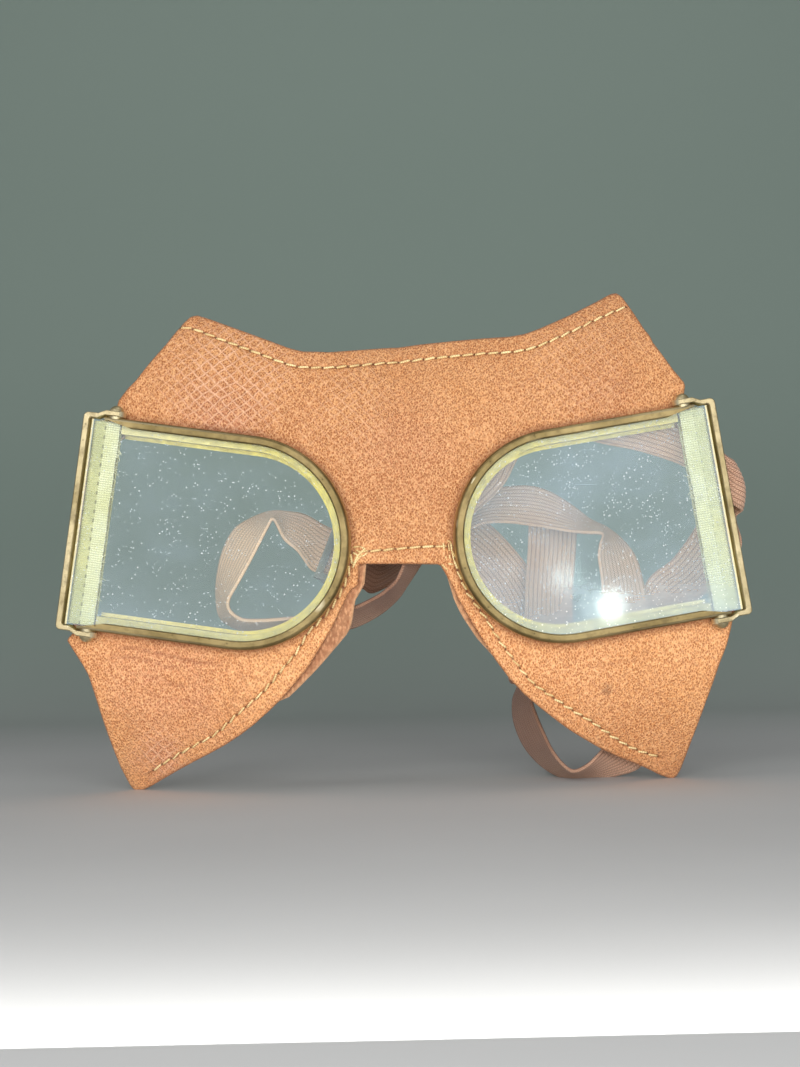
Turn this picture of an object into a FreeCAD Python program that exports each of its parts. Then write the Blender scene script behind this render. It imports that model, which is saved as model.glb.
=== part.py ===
import FreeCAD, Part
import math
import os
from FreeCAD import Vector

# Vintage mask goggles, millimetres: two D-shaped metal eye frames with glass, a leather
# mask with lining and seams, and a head strap with a slider.
# +Z is up as worn, the front faces -Y, +X is the wearer's left. The origin is the middle
# of the nose bridge on the front plane of the two metal frames.
#
# Eye parts are drawn once for the left eye in local axes u (outboard), v (up), w (forward)
# from the centre of the round nose end, then mirrored for the right eye.
# Name endings: _U, _V, _W are local positions, _T a thickness, _R a radius, and _INSET
# a distance inwards from the rim outline.

os.makedirs("parts", exist_ok=True)

# ---- eye frame dimensions ---------------------------------------------------
EYE_X = 39.0            # centre of the round nose end
EYE_Z = -1.4
WRAP = math.radians(4.0)    # each eye turned back about the vertical
CANT = math.radians(8.8)    # each eye turned up at the outboard end
HALF_H = 26.2           # half height of the rim, also the nose end radius
BAR_U = 42.9            # outer face of the gate bar

WALL = 0.7              # rim sheet
RIM_DEPTH = 4.85
RIM_END_U = BAR_U - 5.2
LIP_INSET = 2.2         # front lip
LIP_T = 0.95
LIP_END_U = BAR_U - 7.2
SLOT = 1.95             # glass slot
SLOT_BACK_W = -LIP_T - SLOT
BACK_LIP_INSET = 3.6
BACK_LIP_END_U = BAR_U - 9.2
BACK_LIP_W = SLOT_BACK_W - WALL     # back face of the back lip

GLASS_T = 1.85
GLASS_END_U = BAR_U - 2.0

PIVOT_U = BAR_U - 7.6
PIVOT_W = -2.2
PAD_R = 2.2             # raised pads round the pivots
PAD_T = 0.35
GATE_BAR_T = 1.45
GATE_LEG_T = 1.25
GATE_DEPTH = 4.3
LEG_V = 25.65           # inner face of a gate leg next to the bar
FIT_GAP = 0.05          # between pad, ear and rivet head
EAR_V = HALF_H + PAD_T + FIT_GAP    # inner face of an ear
EAR_R = 2.42
EAR_HOLE_R = 0.85
PIN_R = 0.80
HEAD_R = 1.8            # domed rivet head
HEAD_H = 1.4

LEATHER_W = -4.90       # front of the leather on the eye plane
LEATHER_T = 1.3
LINING_GAP = 0.10
LINING_T = 0.8
OPENING_INSET = 2.75    # eye opening in the leather
OPENING_END_U = BAR_U - 7.6

RING_T = 1.0
RING_W = LEATHER_W - LEATHER_T - LINING_GAP - LINING_T - 0.10
COLLAR_W = RING_W - RING_T      # back of the ring
FLANGE_T = 0.6
FLANGE_INSET = 1.7
FLANGE_BACK_W = COLLAR_W - FLANGE_T
SLEEVE_INSET = BACK_LIP_INSET - WALL

TAPE_OUT_U = BAR_U - 1.9
TAPE_IN_U = BAR_U - 8.5
TAPE_FRONT_W = -3.30
TAPE_BACK_W = COLLAR_W - 0.55
TAPE_HALF_H = HALF_H - WALL - 0.25

# ---- mask dimensions --------------------------------------------------------
# Outline and flap seam points lie on the front plane. They are carried back to the
# leather along sight lines from a point in front of the goggles and below the origin.
SIGHT_DISTANCE = 450.0
SIGHT_ANGLE = math.radians(1.5)

LINING_EDGE_INSET = 1.2     # lining edge inside the mask edge
TOP_SEAM_INSET = 4.1        # top seam inside the mask edge
THREAD_WIDTH = 0.6
THREAD_T = 0.35
THREAD_LIFT = 0.10          # gap between thread and leather

# Mask edge as (x, z), clockwise seen from the front.
# The top edge runs from the wearer's right to the left.
TOP_EDGE = [
    (-67.9, 33.6), (-65.9, 36.2), (-63.7, 38.4), (-59.9, 43.1), (-56.2, 47.1),
    (-52.5, 51.6), (-50.4, 53.6), (-48.8, 54.1), (-45.2, 52.9), (-38.0, 50.1), (-30.9, 47.3),
    (-26.5, 45.5), (-23.2, 44.6), (-16.4, 44.3), (-9.2, 44.7), (-1.9, 45.1), (5.3, 45.7),
    (12.6, 46.3), (19.9, 46.8), (27.1, 47.1), (30.8, 47.7), (34.4, 48.9), (41.7, 52.0),
    (49.0, 55.5), (51.5, 56.9), (53.2, 57.4), (54.6, 56.6), (56.3, 54.1), (59.8, 48.4),
    (61.2, 46.6), (61.9, 44.9), (63.3, 43.0), (66.8, 37.9), (69.4, 34.7),
]
# wearer's left cheek flap, from outboard to the bridge
LEFT_FLAP_EDGE = [
    (77.9, -28.6), (75.9, -33.3), (72.3, -42.9), (68.6, -52.4), (66.1, -58.9),
    (65.1, -60.6), (63.9, -61.0), (61.0, -59.8), (57.4, -57.9), (53.9, -56.4), (50.3, -54.9),
    (46.7, -53.0), (43.1, -50.8), (39.5, -48.5), (36.0, -45.8), (32.4, -42.9), (28.8, -39.7),
    (25.3, -35.9), (21.8, -31.0), (18.3, -25.3), (14.9, -19.4), (13.0, -15.8), (11.5, -12.3),
    (10.1, -9.7), (9.0, -7.8),
]
BRIDGE_EDGE = [
    (0.0, -7.5), (-10.6, -7.3), (-10.8, -12.4), (-12.9, -13.7), (-14.5, -16.8),
    (-16.3, -20.4), (-18.3, -24.1), (-20.8, -28.0),
]
# wearer's right cheek flap, from the bridge to outboard
RIGHT_FLAP_EDGE = [
    (-23.0, -31.4), (-25.6, -34.6), (-29.1, -38.6), (-32.8, -42.1), (-36.5, -45.3),
    (-40.2, -48.0), (-43.9, -50.3), (-47.5, -52.2), (-51.2, -54.0), (-54.9, -55.9),
    (-58.5, -57.9), (-62.2, -60.0), (-64.4, -61.0), (-66.2, -60.9), (-67.2, -59.6),
    (-69.4, -54.9), (-72.4, -46.2), (-75.2, -36.8), (-76.5, -32.6), (-77.8, -30.2),
    (-80.1, -26.4), (-81.5, -24.0),
]
# The lining takes this in place of the bridge edge and the first right flap points.
LINING_BRIDGE_EDGE = [
    (0.0, -7.5), (-7.6, -7.3), (-8.2, -12.6), (-10.6, -16.6), (-11.3, -21.4),
    (-12.4, -24.3), (-16.4, -28.9), (-20.3, -33.2), (-24.4, -37.2), (-27.5, -40.1),
]
LINING_FLAP_START = 3

# Seam lines as (x, z). The bridge seam is given directly on the leather.
BRIDGE_SEAM = [(11.2, -3.4), (6.0, -3.3), (0.0, -3.6), (-6.0, -4.0), (-11.0, -4.2)]
LEFT_SEAM = [
    (12.0, -3.6), (12.9, -8.4), (15.0, -13.8), (17.6, -17.9), (20.1, -21.5), (22.4, -25.6),
    (25.4, -30.0), (30.1, -36.2), (34.2, -39.4), (40.1, -43.6), (44.9, -46.6), (51.5, -51.4),
    (56.3, -53.9), (61.8, -55.7),
]
RIGHT_SEAM = [
    (-12.1, -4.4), (-13.0, -9.1), (-14.7, -13.4), (-17.3, -17.5), (-20.1, -20.7),
    (-23.0, -23.2), (-25.7, -27.7), (-30.2, -32.9), (-34.7, -37.9), (-40.1, -42.4),
    (-46.2, -47.6), (-51.1, -50.1), (-58.4, -54.1), (-62.6, -56.9),
]

# ---- strap dimensions -------------------------------------------------------
STRAP_T = 1.2
STRAP_WIDTH = 12.7      # nominal width at the slider
SLIDER_STATION = 47
SLIDER_SPAN = (45, 50)  # stations that give the strap direction at the slider

# The two long edges of the strap as (x, y, z), station by station.
STRAP_EDGE_A = [
    (46.07, 38.00, 8.61), (45.56, 38.00, -3.16), (44.50, 38.00, -14.95),
    (44.32, 39.05, -25.41), (44.65, 41.98, -34.74), (49.21, 41.20, -39.82),
    (54.33, 38.92, -35.60), (57.27, 33.64, -28.15), (62.60, 30.00, -13.22),
    (69.31, 27.00, -7.17), (75.79, 24.00, 2.34), (81.78, 21.00, 14.46),
    (83.45, 18.00, 16.72), (80.73, 15.60, 18.81), (74.43, 16.30, 27.03),
    (62.90, 17.30, 31.87), (50.51, 18.20, 34.97), (40.55, 18.50, 38.91),
    (34.37, 21.15, 45.59), (27.99, 24.13, 46.61), (24.06, 24.81, 40.15),
    (20.59, 24.06, 34.54), (19.77, 18.00, 28.91), (17.35, 17.50, 22.78),
    (13.81, 17.50, 17.14), (7.72, 14.57, 11.19), (3.02, 11.79, 2.23),
    (-0.71, 10.84, -9.60), (-4.27, 10.90, -13.73), (-8.28, 11.02, -16.11),
    (-12.79, 11.42, -18.00), (-17.56, 12.52, -19.16), (-22.86, 13.90, -19.81),
    (-28.37, 14.28, -20.20), (-35.37, 14.55, -20.55), (-40.37, 14.77, -20.19),
    (-43.32, 14.82, -17.88), (-43.52, 14.85, -15.38), (-41.74, 15.30, -12.18),
    (-38.72, 16.33, -6.99), (-35.89, 16.83, -1.78), (-33.56, 17.11, 2.69),
    (-32.06, 17.74, 4.43), (-29.81, 20.22, -0.33), (-26.49, 22.69, -3.65),
    (-23.55, 25.68, -8.11), (-20.46, 25.68, -9.33), (-17.14, 25.68, -10.64),
    (-13.81, 25.68, -11.95), (-10.49, 25.68, -13.26), (-7.40, 25.68, -14.47),
    (0.27, 24.53, -10.32), (7.03, 24.66, -4.35), (15.28, 24.85, 0.06),
    (21.19, 24.71, 2.48), (26.80, 24.66, 2.61), (33.16, 24.78, 1.71),
    (37.91, 23.78, 0.81), (42.57, 22.10, -0.10), (46.75, 20.88, -0.47),
    (50.46, 20.22, -0.82), (49.92, 20.32, -3.08), (49.44, 21.26, -6.59),
    (50.12, 21.72, -12.43), (50.35, 22.88, -19.03), (50.49, 25.50, -26.73),
    (50.17, 26.50, -35.46), (49.98, 27.50, -44.22), (50.25, 26.07, -51.02),
    (49.67, 23.82, -54.65), (47.33, 21.41, -57.17), (44.70, 20.87, -59.33),
    (41.68, 21.23, -60.32), (39.08, 22.87, -58.39), (36.76, 24.65, -54.95),
    (35.19, 26.44, -51.24), (33.39, 28.40, -46.48), (32.57, 30.16, -42.46),
    (35.16, 32.43, -37.99), (38.86, 40.00, -33.26), (39.13, 42.00, -24.70),
    (35.85, 42.00, -12.89), (27.09, 42.00, -0.87), (16.58, 40.00, 8.90),
    (6.90, 37.00, 20.82), (-1.15, 33.00, 31.38), (-12.18, 29.00, 39.70),
    (-25.67, 26.00, 45.58), (-38.87, 23.00, 47.64), (-51.03, 20.50, 47.64),
    (-62.50, 19.00, 40.71), (-74.29, 21.70, 31.31), (-78.76, 23.01, 22.13),
    (-81.30, 23.33, 13.31), (-83.55, 23.32, 3.20), (-84.70, 23.35, -2.62),
]
STRAP_EDGE_B = [
    (33.38, 38.00, 8.15), (32.86, 38.00, -3.37), (31.82, 38.00, -15.64),
    (31.99, 35.95, -27.67), (37.91, 31.02, -36.95), (45.88, 28.80, -40.86),
    (57.64, 28.08, -39.79), (65.73, 30.36, -36.49), (71.63, 30.00, -22.15),
    (79.75, 27.00, -14.39), (86.24, 24.00, -4.87), (84.19, 21.00, 1.99),
    (85.33, 18.00, 4.16), (82.28, 15.60, 6.20), (72.91, 16.30, 14.42),
    (61.38, 17.30, 19.26), (48.75, 18.20, 22.39), (37.83, 18.50, 26.50),
    (29.75, 15.85, 34.28), (25.22, 12.87, 39.80), (22.65, 12.19, 37.54),
    (25.00, 12.94, 29.87), (31.10, 18.00, 23.18), (28.68, 17.50, 17.04),
    (24.67, 17.50, 10.55), (15.18, 19.83, 2.46), (8.04, 22.21, -2.89),
    (1.77, 23.16, -11.37), (-1.64, 23.10, -16.12), (-6.55, 22.98, -20.08),
    (-12.71, 23.18, -23.00), (-17.85, 24.48, -23.68), (-23.28, 26.10, -23.60),
    (-29.18, 26.72, -22.98), (-36.38, 27.05, -23.09), (-42.53, 27.23, -22.70),
    (-46.82, 27.18, -19.79), (-47.72, 27.15, -14.39), (-47.30, 26.70, -8.76),
    (-45.89, 26.67, -2.91), (-43.00, 27.17, 2.42), (-38.73, 28.89, 5.20),
    (-33.64, 30.26, 6.94), (-28.78, 30.78, 6.85), (-24.67, 30.91, 6.00),
    (-19.41, 30.32, 2.97), (-16.29, 30.32, 1.74), (-12.94, 30.32, 0.42),
    (-9.58, 30.32, -0.91), (-6.22, 30.32, -2.23), (-3.10, 30.32, -3.46),
    (-0.05, 33.47, -1.20), (5.77, 35.34, 2.62), (13.95, 35.15, 7.65),
    (20.50, 34.29, 11.11), (26.98, 33.34, 12.22), (33.39, 32.22, 12.28),
    (38.53, 32.22, 10.62), (44.21, 32.90, 6.90), (48.81, 33.12, 3.17),
    (52.88, 32.78, 1.00), (56.83, 31.68, -2.22), (59.86, 29.74, -6.45),
    (61.43, 28.88, -11.90), (62.66, 27.72, -19.11), (63.19, 25.50, -27.01),
    (62.86, 26.50, -35.98), (62.64, 27.50, -45.24), (62.57, 28.93, -54.35),
    (60.02, 30.18, -60.59), (53.23, 32.19, -62.97), (47.62, 33.13, -63.46),
    (42.75, 33.77, -63.68), (38.72, 35.13, -62.70), (34.19, 36.35, -59.59),
    (30.45, 37.56, -54.91), (28.35, 39.60, -49.00), (28.34, 41.84, -43.62),
    (29.85, 43.57, -39.52), (27.15, 40.00, -38.17), (26.77, 42.00, -27.63),
    (24.19, 42.00, -17.92), (17.80, 42.00, -9.53), (7.77, 40.00, -0.24),
    (-1.53, 37.00, 11.33), (-8.64, 33.00, 21.13), (-17.24, 29.00, 28.04),
    (-28.10, 26.00, 33.11), (-40.36, 23.00, 35.03), (-52.28, 20.50, 35.00),
    (-57.87, 19.00, 28.88), (-66.51, 15.50, 22.10), (-70.01, 14.59, 15.63),
    (-71.85, 14.27, 8.92), (-73.54, 14.28, 0.23), (-74.65, 14.25, -5.23),
]


# ---- eye axes ---------------------------------------------------------------
def axes_matrix(x_axis, y_axis, z_axis, origin):
    return FreeCAD.Matrix(x_axis.x, y_axis.x, z_axis.x, origin.x,
                          x_axis.y, y_axis.y, z_axis.y, origin.y,
                          x_axis.z, y_axis.z, z_axis.z, origin.z,
                          0, 0, 0, 1)


LEVEL_AXIS = Vector(math.cos(WRAP), math.sin(WRAP), 0)
UP = Vector(0, 0, 1)
EYE_U = LEVEL_AXIS * math.cos(CANT) + UP * math.sin(CANT)
EYE_V = LEVEL_AXIS * (-math.sin(CANT)) + UP * math.cos(CANT)
EYE_CENTRE = Vector(EYE_X, EYE_X * math.tan(WRAP), EYE_Z)
EYE_MATRIX = axes_matrix(EYE_U, EYE_V, EYE_U.cross(EYE_V), EYE_CENTRE)


def place(shape):
    """Move a shape from local axes to the wearer's left eye."""
    placed = shape.copy()
    placed.Placement = FreeCAD.Placement(EYE_MATRIX).multiply(placed.Placement)
    return placed


def mirror_x(shape):
    return shape.mirror(Vector(0, 0, 0), Vector(1, 0, 0))


def eye_uv(x, z):
    """Local u, v of the left eye plane point that has this x and z."""
    dx, dz = x - EYE_CENTRE.x, z - EYE_CENTRE.z
    det = EYE_U.x * EYE_V.z - EYE_V.x * EYE_U.z
    return (dx * EYE_V.z - EYE_V.x * dz) / det, (EYE_U.x * dz - EYE_U.z * dx) / det


def reach(u, v):
    """Distance from the nose end centre, or from the u axis beside the straights."""
    return math.hypot(u, v) if u < 0 else abs(v)


# ---- shape helpers ----------------------------------------------------------
def d_prism(inset, end_u, w0, w1):
    """D-shaped prism: round nose end and straights inset, flat outboard end at end_u."""
    r = HALF_H - inset
    lower_end, upper_end = Vector(end_u, -r, w0), Vector(end_u, r, w0)
    top, nose, bottom = Vector(0, r, w0), Vector(-r, 0, w0), Vector(0, -r, w0)
    wire = Part.Wire([Part.makeLine(upper_end, top), Part.Arc(top, nose, bottom).toShape(),
                      Part.makeLine(bottom, lower_end), Part.makeLine(lower_end, upper_end)])
    return Part.Face(wire).extrude(Vector(0, 0, w1 - w0))


def box(u0, u1, v0, v1, w0, w1):
    v0, v1 = sorted((v0, v1))
    return Part.makeBox(u1 - u0, v1 - v0, w1 - w0, Vector(u0, v0, w0))


def pivot_cylinder(radius, v0, v1):
    """Cylinder on the pivot axis, from v0 to v1."""
    axis = Vector(0, 1 if v1 > v0 else -1, 0)
    return Part.makeCylinder(radius, abs(v1 - v0), Vector(PIVOT_U, v0, PIVOT_W), axis)


def extrude_polygon(points, direction):
    return Part.Face(Part.makePolygon(points + points[:1])).extrude(direction)


def flat_edges(shape, min_length=0):
    """Edges that lie in some plane of constant w."""
    return [e for e in shape.Edges
            if abs(e.BoundBox.ZMax - e.BoundBox.ZMin) < 1e-6 and e.Length > min_length]


def edges_at(shape, w, min_length=0):
    """Edges that lie in the plane at w."""
    return [e for e in shape.Edges
            if abs(e.BoundBox.ZMin - w) < 1e-6 and abs(e.BoundBox.ZMax - w) < 1e-6
            and e.Length > min_length]


def edges_of_length(shape, length, u_min=-100, u_max=100):
    """Edges of one length, between two values of u."""
    return [e for e in shape.Edges
            if abs(e.Length - length) < 1e-5
            and e.BoundBox.XMin > u_min and e.BoundBox.XMax < u_max]


def mid_point(edge):
    return edge.valueAt((edge.FirstParameter + edge.LastParameter) / 2)


def edge_reach(edge):
    middle = mid_point(edge)
    return reach(middle.x, middle.y)


def closed_solid(shell):
    """Solid from a shell, turned outside out if needed."""
    solid = Part.Solid(shell)
    if solid.Volume < 0:
        solid.reverse()
    return solid


# ---- eye parts --------------------------------------------------------------
def front_rim():
    """Sheet rim with front and back lips round a glass slot, open outboard."""
    past_end = RIM_END_U + 2
    inner = HALF_H - WALL
    body = d_prism(0, RIM_END_U, -RIM_DEPTH, 0)
    body = body.cut(d_prism(WALL, past_end, SLOT_BACK_W, -LIP_T))
    body = body.cut(d_prism(LIP_INSET, past_end, -LIP_T - 0.01, 1))
    body = body.cut(d_prism(BACK_LIP_INSET, past_end, BACK_LIP_W - 0.01, SLOT_BACK_W + 0.01))
    body = body.cut(d_prism(WALL, past_end, -RIM_DEPTH - 1, BACK_LIP_W))
    body = body.cut(box(BACK_LIP_END_U, past_end, -inner, inner,
                        -RIM_DEPTH - 1, SLOT_BACK_W + 0.01))

    # rounded front bead: outer edges first, then the edges of the lip
    body = body.makeFillet(0.85, [e for e in edges_at(body, 0, 20)
                                  if edge_reach(e) > HALF_H - 0.3])
    lip_v = HALF_H - LIP_INSET
    body = body.makeFillet(0.45, [e for e in edges_at(body, 0, 20)
                                  if abs(edge_reach(e) - lip_v) < 0.05])

    # the front lip runs out to nothing before the open end
    upper = [(LIP_END_U - 7.5, lip_v - 0.6), (LIP_END_U - 5.0, lip_v),
             (RIM_END_U - 0.6, inner), (past_end, inner)]
    taper = upper + [(u, -v) for u, v in reversed(upper)]
    body = body.cut(extrude_polygon([Vector(u, v, -LIP_T - 0.01) for u, v in taper],
                                    Vector(0, 0, 3)))

    for side in (1, -1):
        pad = pivot_cylinder(PAD_R, side * (HALF_H - 0.3), side * (HALF_H + PAD_T))
        body = body.fuse(pad.cut(box(PIVOT_U - 5, PIVOT_U + 5, -inner, inner, -6, 2)))
    for side in (1, -1):
        body = body.cut(pivot_cylinder(PIN_R, side * (HALF_H - 3), side * (HALF_H + 3)))
    return body.removeSplitter()


def back_ring():
    """Flat ring behind the lining."""
    body = d_prism(0.5, BAR_U - 2.5, COLLAR_W, RING_W)
    body = body.cut(d_prism(2.8, BAR_U - 7.9, COLLAR_W - 1, RING_W + 1))
    return body.makeFillet(0.25, edges_at(body, COLLAR_W))


def clamp_ring():
    """Sleeve from the back lip through to a flange behind the ring, open outboard."""
    end, past_end = BACK_LIP_END_U, BACK_LIP_END_U + 2
    body = d_prism(SLEEVE_INSET, end, FLANGE_BACK_W, BACK_LIP_W)
    body = body.fuse(d_prism(FLANGE_INSET, end, FLANGE_BACK_W, COLLAR_W))
    body = body.cut(d_prism(BACK_LIP_INSET, past_end, COLLAR_W - 5, BACK_LIP_W + 1))
    inner_lip = d_prism(SLEEVE_INSET, end, FLANGE_BACK_W, COLLAR_W + 0.35).cut(
        d_prism(4.5, past_end, COLLAR_W - 5, BACK_LIP_W))
    body = body.fuse(inner_lip).removeSplitter()
    return body.makeFillet(0.25, edges_at(body, FLANGE_BACK_W, 20))


def lens():
    """Glass, centred in the depth of the slot."""
    front_w = -LIP_T - (SLOT - GLASS_T) / 2
    glass = d_prism(WALL + 0.1, GLASS_END_U, front_w - GLASS_T, front_w)
    return glass.makeFillet(0.18, flat_edges(glass))


def gate_leg(side, w0, w1):
    """One leg, flared out over the rim to a round ear; side is +1 above, -1 below."""
    bar_end_u = BAR_U - 1.25
    outline = [
        (PIVOT_U + 4.3, LEG_V), (PIVOT_U + 2.4, EAR_V), (PIVOT_U - EAR_R, EAR_V),
        (PIVOT_U - EAR_R, EAR_V + GATE_LEG_T), (PIVOT_U + 2.2, EAR_V + GATE_LEG_T),
        (PIVOT_U + 4.1, LEG_V + GATE_LEG_T), (bar_end_u, LEG_V + GATE_LEG_T),
        (bar_end_u, LEG_V),
    ]
    leg = extrude_polygon([Vector(u, side * v, w0) for u, v in outline],
                          Vector(0, 0, GATE_DEPTH))
    leg = leg.makeFillet(0.8, edges_of_length(leg, GATE_DEPTH, PIVOT_U + 1, PIVOT_U + 5))
    # round the ear as seen along the pivot
    ear = pivot_cylinder(EAR_R, side * 20, side * 30)
    return leg.common(ear.fuse(box(PIVOT_U, BAR_U + 1, side * 20, side * 30, w0, w1)))


def gate():
    """Bail: a bar across the open end with a leg above and below."""
    w0, w1 = PIVOT_W - GATE_DEPTH / 2, PIVOT_W + GATE_DEPTH / 2
    inner_u = BAR_U - GATE_BAR_T
    half_length = LEG_V + GATE_LEG_T
    body = box(inner_u, BAR_U, -half_length, half_length, w0, w1)
    body = body.makeFillet(1.2, edges_of_length(body, GATE_DEPTH, BAR_U - 1e-4))
    for side in (1, -1):
        body = body.fuse(gate_leg(side, w0, w1))
    body = body.removeSplitter()
    inner_corners = edges_of_length(body, GATE_DEPTH, inner_u - 1e-4, inner_u + 1e-4)
    if inner_corners:
        body = body.makeFillet(0.6, inner_corners)
    for side in (1, -1):
        body = body.cut(pivot_cylinder(EAR_HOLE_R, side * 20, side * 32))
    body = body.removeSplitter()
    # Guards the fillet of the long bar edges, which runs into the corner rounds: if it
    # can't be built, those edges stay sharp.
    try:
        body = body.makeFillet(0.25, flat_edges(body, 30))
    except Exception:
        pass
    return body


def rivet(side):
    """Pivot pin with a domed head; side is +1 above, -1 below."""
    base = EAR_V + GATE_LEG_T + FIT_GAP
    shank = pivot_cylinder(PIN_R, side * (HALF_H - WALL), side * (base + 0.4))
    dome_r = (HEAD_R ** 2 + HEAD_H ** 2) / (2 * HEAD_H)
    ball = Part.makeSphere(dome_r, Vector(PIVOT_U, side * (base + HEAD_H - dome_r), PIVOT_W))
    head_space = box(PIVOT_U - 4, PIVOT_U + 4, side * base, side * (base + 5),
                     PIVOT_W - 4, PIVOT_W + 4)
    return shank.fuse(ball.common(head_space)).removeSplitter()


def edge_tape():
    """Upright hollow band wrapped round the outboard end of the mask."""
    hollow_w = (TAPE_BACK_W + 0.40, TAPE_FRONT_W - 1.4)
    hollow_half_h = TAPE_HALF_H + 1
    outer = box(TAPE_IN_U, TAPE_OUT_U, -TAPE_HALF_H, TAPE_HALF_H, TAPE_BACK_W, TAPE_FRONT_W)
    outer = outer.makeFillet(0.7, edges_of_length(outer, 2 * TAPE_HALF_H))
    hollow = box(TAPE_IN_U + 0.45, TAPE_OUT_U - 0.40, -hollow_half_h, hollow_half_h, *hollow_w)
    hollow = hollow.makeFillet(0.3, edges_of_length(hollow, 2 * hollow_half_h))
    tape = outer.cut(hollow)
    # the inboard wall stops short of the leather, lining and ring arms
    for side in (1, -1):
        tape = tape.cut(box(TAPE_IN_U - 1, TAPE_IN_U + 0.9,
                            side * (HALF_H - OPENING_INSET - 0.10), side * HALF_H, *hollow_w))
    return tape


# ---- leather surface --------------------------------------------------------
BRIDGE_BLEND = 3.0      # rounds the fold between the two eye planes
FLAT_MARGIN = 3.0       # flat band round each rim
ROLL_RATE = 0.0125      # backward roll per squared distance outside the band
NOSE_WIDTH = 15.0       # spread in x of the roll at the nose
NOSE_Z = -12.0          # the nose roll starts below this height
NOSE_RATE = 0.10
WAVE_HEIGHT = 0.35      # gentle wave across the mask
WAVE_RATE = 0.115       # radians per millimetre
WAVE_PHASE = 0.6


def surface_y(x, z):
    """Front face of the leather."""
    base = math.tan(WRAP) * math.sqrt(x * x + BRIDGE_BLEND ** 2) - LEATHER_W / math.cos(WRAP)
    outside = max(reach(*eye_uv(abs(x), z)) - HALF_H, 0.0)
    d = max(outside - FLAT_MARGIN, 0.0)
    roll = ROLL_RATE * d * d
    # the nose edge of each cheek flap rolls back towards the face
    nose = math.exp(-((x / NOSE_WIDTH) ** 2)) * max(NOSE_Z - z, 0.0) * NOSE_RATE
    nose *= min(d / 4.0, 1.0)
    wave = WAVE_HEIGHT * math.sin(x * WAVE_RATE + WAVE_PHASE) * min(d / 8.0, 1.0)
    return base + roll + nose + wave


def leather_surface(depth):
    """Spline face at a depth behind the front of the leather."""
    columns, rows = 96, 72
    x0, x1, z0, z1 = -92.0, 92.0, -68.0, 64.0
    grid = []
    for j in range(rows + 1):
        z = z0 + (z1 - z0) * j / rows
        row = []
        for i in range(columns + 1):
            x = x0 + (x1 - x0) * i / columns
            row.append(Vector(x, surface_y(x, z) + depth, z))
        grid.append(row)
    surface = Part.BSplineSurface()
    surface.interpolate(grid)
    return surface.toShape()


def slab(front, back):
    """Solid between two depths behind the leather surface."""
    front_face, back_face = leather_surface(front), leather_surface(back)
    faces = [front_face, back_face]
    for edge in front_face.Edges:
        middle = mid_point(edge)
        nearest = min(back_face.Edges, key=lambda other: math.hypot(
            mid_point(other).x - middle.x, mid_point(other).z - middle.z))
        faces.append(Part.makeRuledSurface(edge, nearest))
    shell = Part.Shell(faces)
    if not shell.isClosed():
        shell = Part.makeShell(Part.Compound(faces).Faces)
        shell.sewShape()
    return closed_solid(shell)


# ---- mask outlines ----------------------------------------------------------
def onto_leather(points):
    """Carry front plane points back along the sight lines."""
    carried = []
    for x, z in points:
        y = surface_y(x, z)
        k = (SIGHT_DISTANCE + y) / SIGHT_DISTANCE
        carried.append((x * k, z * k + y * math.tan(SIGHT_ANGLE)))
    return carried


def outboard_edge(side):
    """Outline behind the gate, top to bottom; side is +1 for the wearer's left."""
    end = BAR_U - 2.4
    local = [(36.4, 27.6), (36.9, 25.6), (end - 1.5, 24.9), (end, 23.6), (end, 0),
             (end, -23.6), (end - 0.7, -25.6), (end - 1.3, -27.2)]
    points = [EYE_MATRIX.multVec(Vector(u, v, LEATHER_W)) for u, v in local]
    return [(side * p.x, p.z) for p in points]


def outline(right_lower_edge):
    """Closed outline with the given edge from the bridge to the right outboard end."""
    return (onto_leather(TOP_EDGE) + outboard_edge(1) + onto_leather(LEFT_FLAP_EDGE)
            + onto_leather(right_lower_edge) + outboard_edge(-1)[::-1])


def inset_polygon(points, distance):
    """Shrink a clockwise polygon."""
    shrunk = []
    for i, (x, z) in enumerate(points):
        x0, z0 = points[i - 1]
        x2, z2 = points[(i + 1) % len(points)]
        length1 = math.hypot(x - x0, z - z0) or 1
        length2 = math.hypot(x2 - x, z2 - z) or 1
        normal1 = ((z - z0) / length1, -(x - x0) / length1)
        normal2 = ((z2 - z) / length2, -(x2 - x) / length2)
        mx, mz = normal1[0] + normal2[0], normal1[1] + normal2[1]
        length = math.hypot(mx, mz) or 1
        mx, mz = mx / length, mz / length
        # the limit keeps sharp corners from shooting inwards
        k = distance / max(mx * normal1[0] + mz * normal1[1], 0.6)
        shrunk.append((x + mx * k, z + mz * k))
    return shrunk


def mask_layer(front, thickness, points, opening_inset):
    """One layer of the mask with its two eye openings."""
    prism = extrude_polygon([Vector(x, -40, z) for x, z in points], Vector(0, 120, 0))
    layer = slab(front, front + thickness).common(prism)
    opening = place(d_prism(opening_inset, OPENING_END_U, -40, 20))
    layer = layer.cut(opening).cut(mirror_x(opening))
    return max(layer.Solids, key=lambda solid: solid.Volume)


# ---- ribbons ----------------------------------------------------------------
def catmull(points, steps):
    """Catmull-Rom curve through the points, with a number of steps per span."""
    curve = []
    last = len(points) - 1
    for i in range(last):
        span = (points[max(i - 1, 0)], points[i], points[i + 1], points[min(i + 2, last)])
        for k in range(steps):
            t = k / steps
            curve.append(Vector(*[
                0.5 * (2 * b + (c - a) * t + (2 * a - 5 * b + 4 * c - d) * t * t
                       + (3 * b - a - 3 * c + d) * t ** 3)
                for a, b, c, d in zip(*span)]))
    curve.append(Vector(*points[-1]))
    return curve


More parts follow.
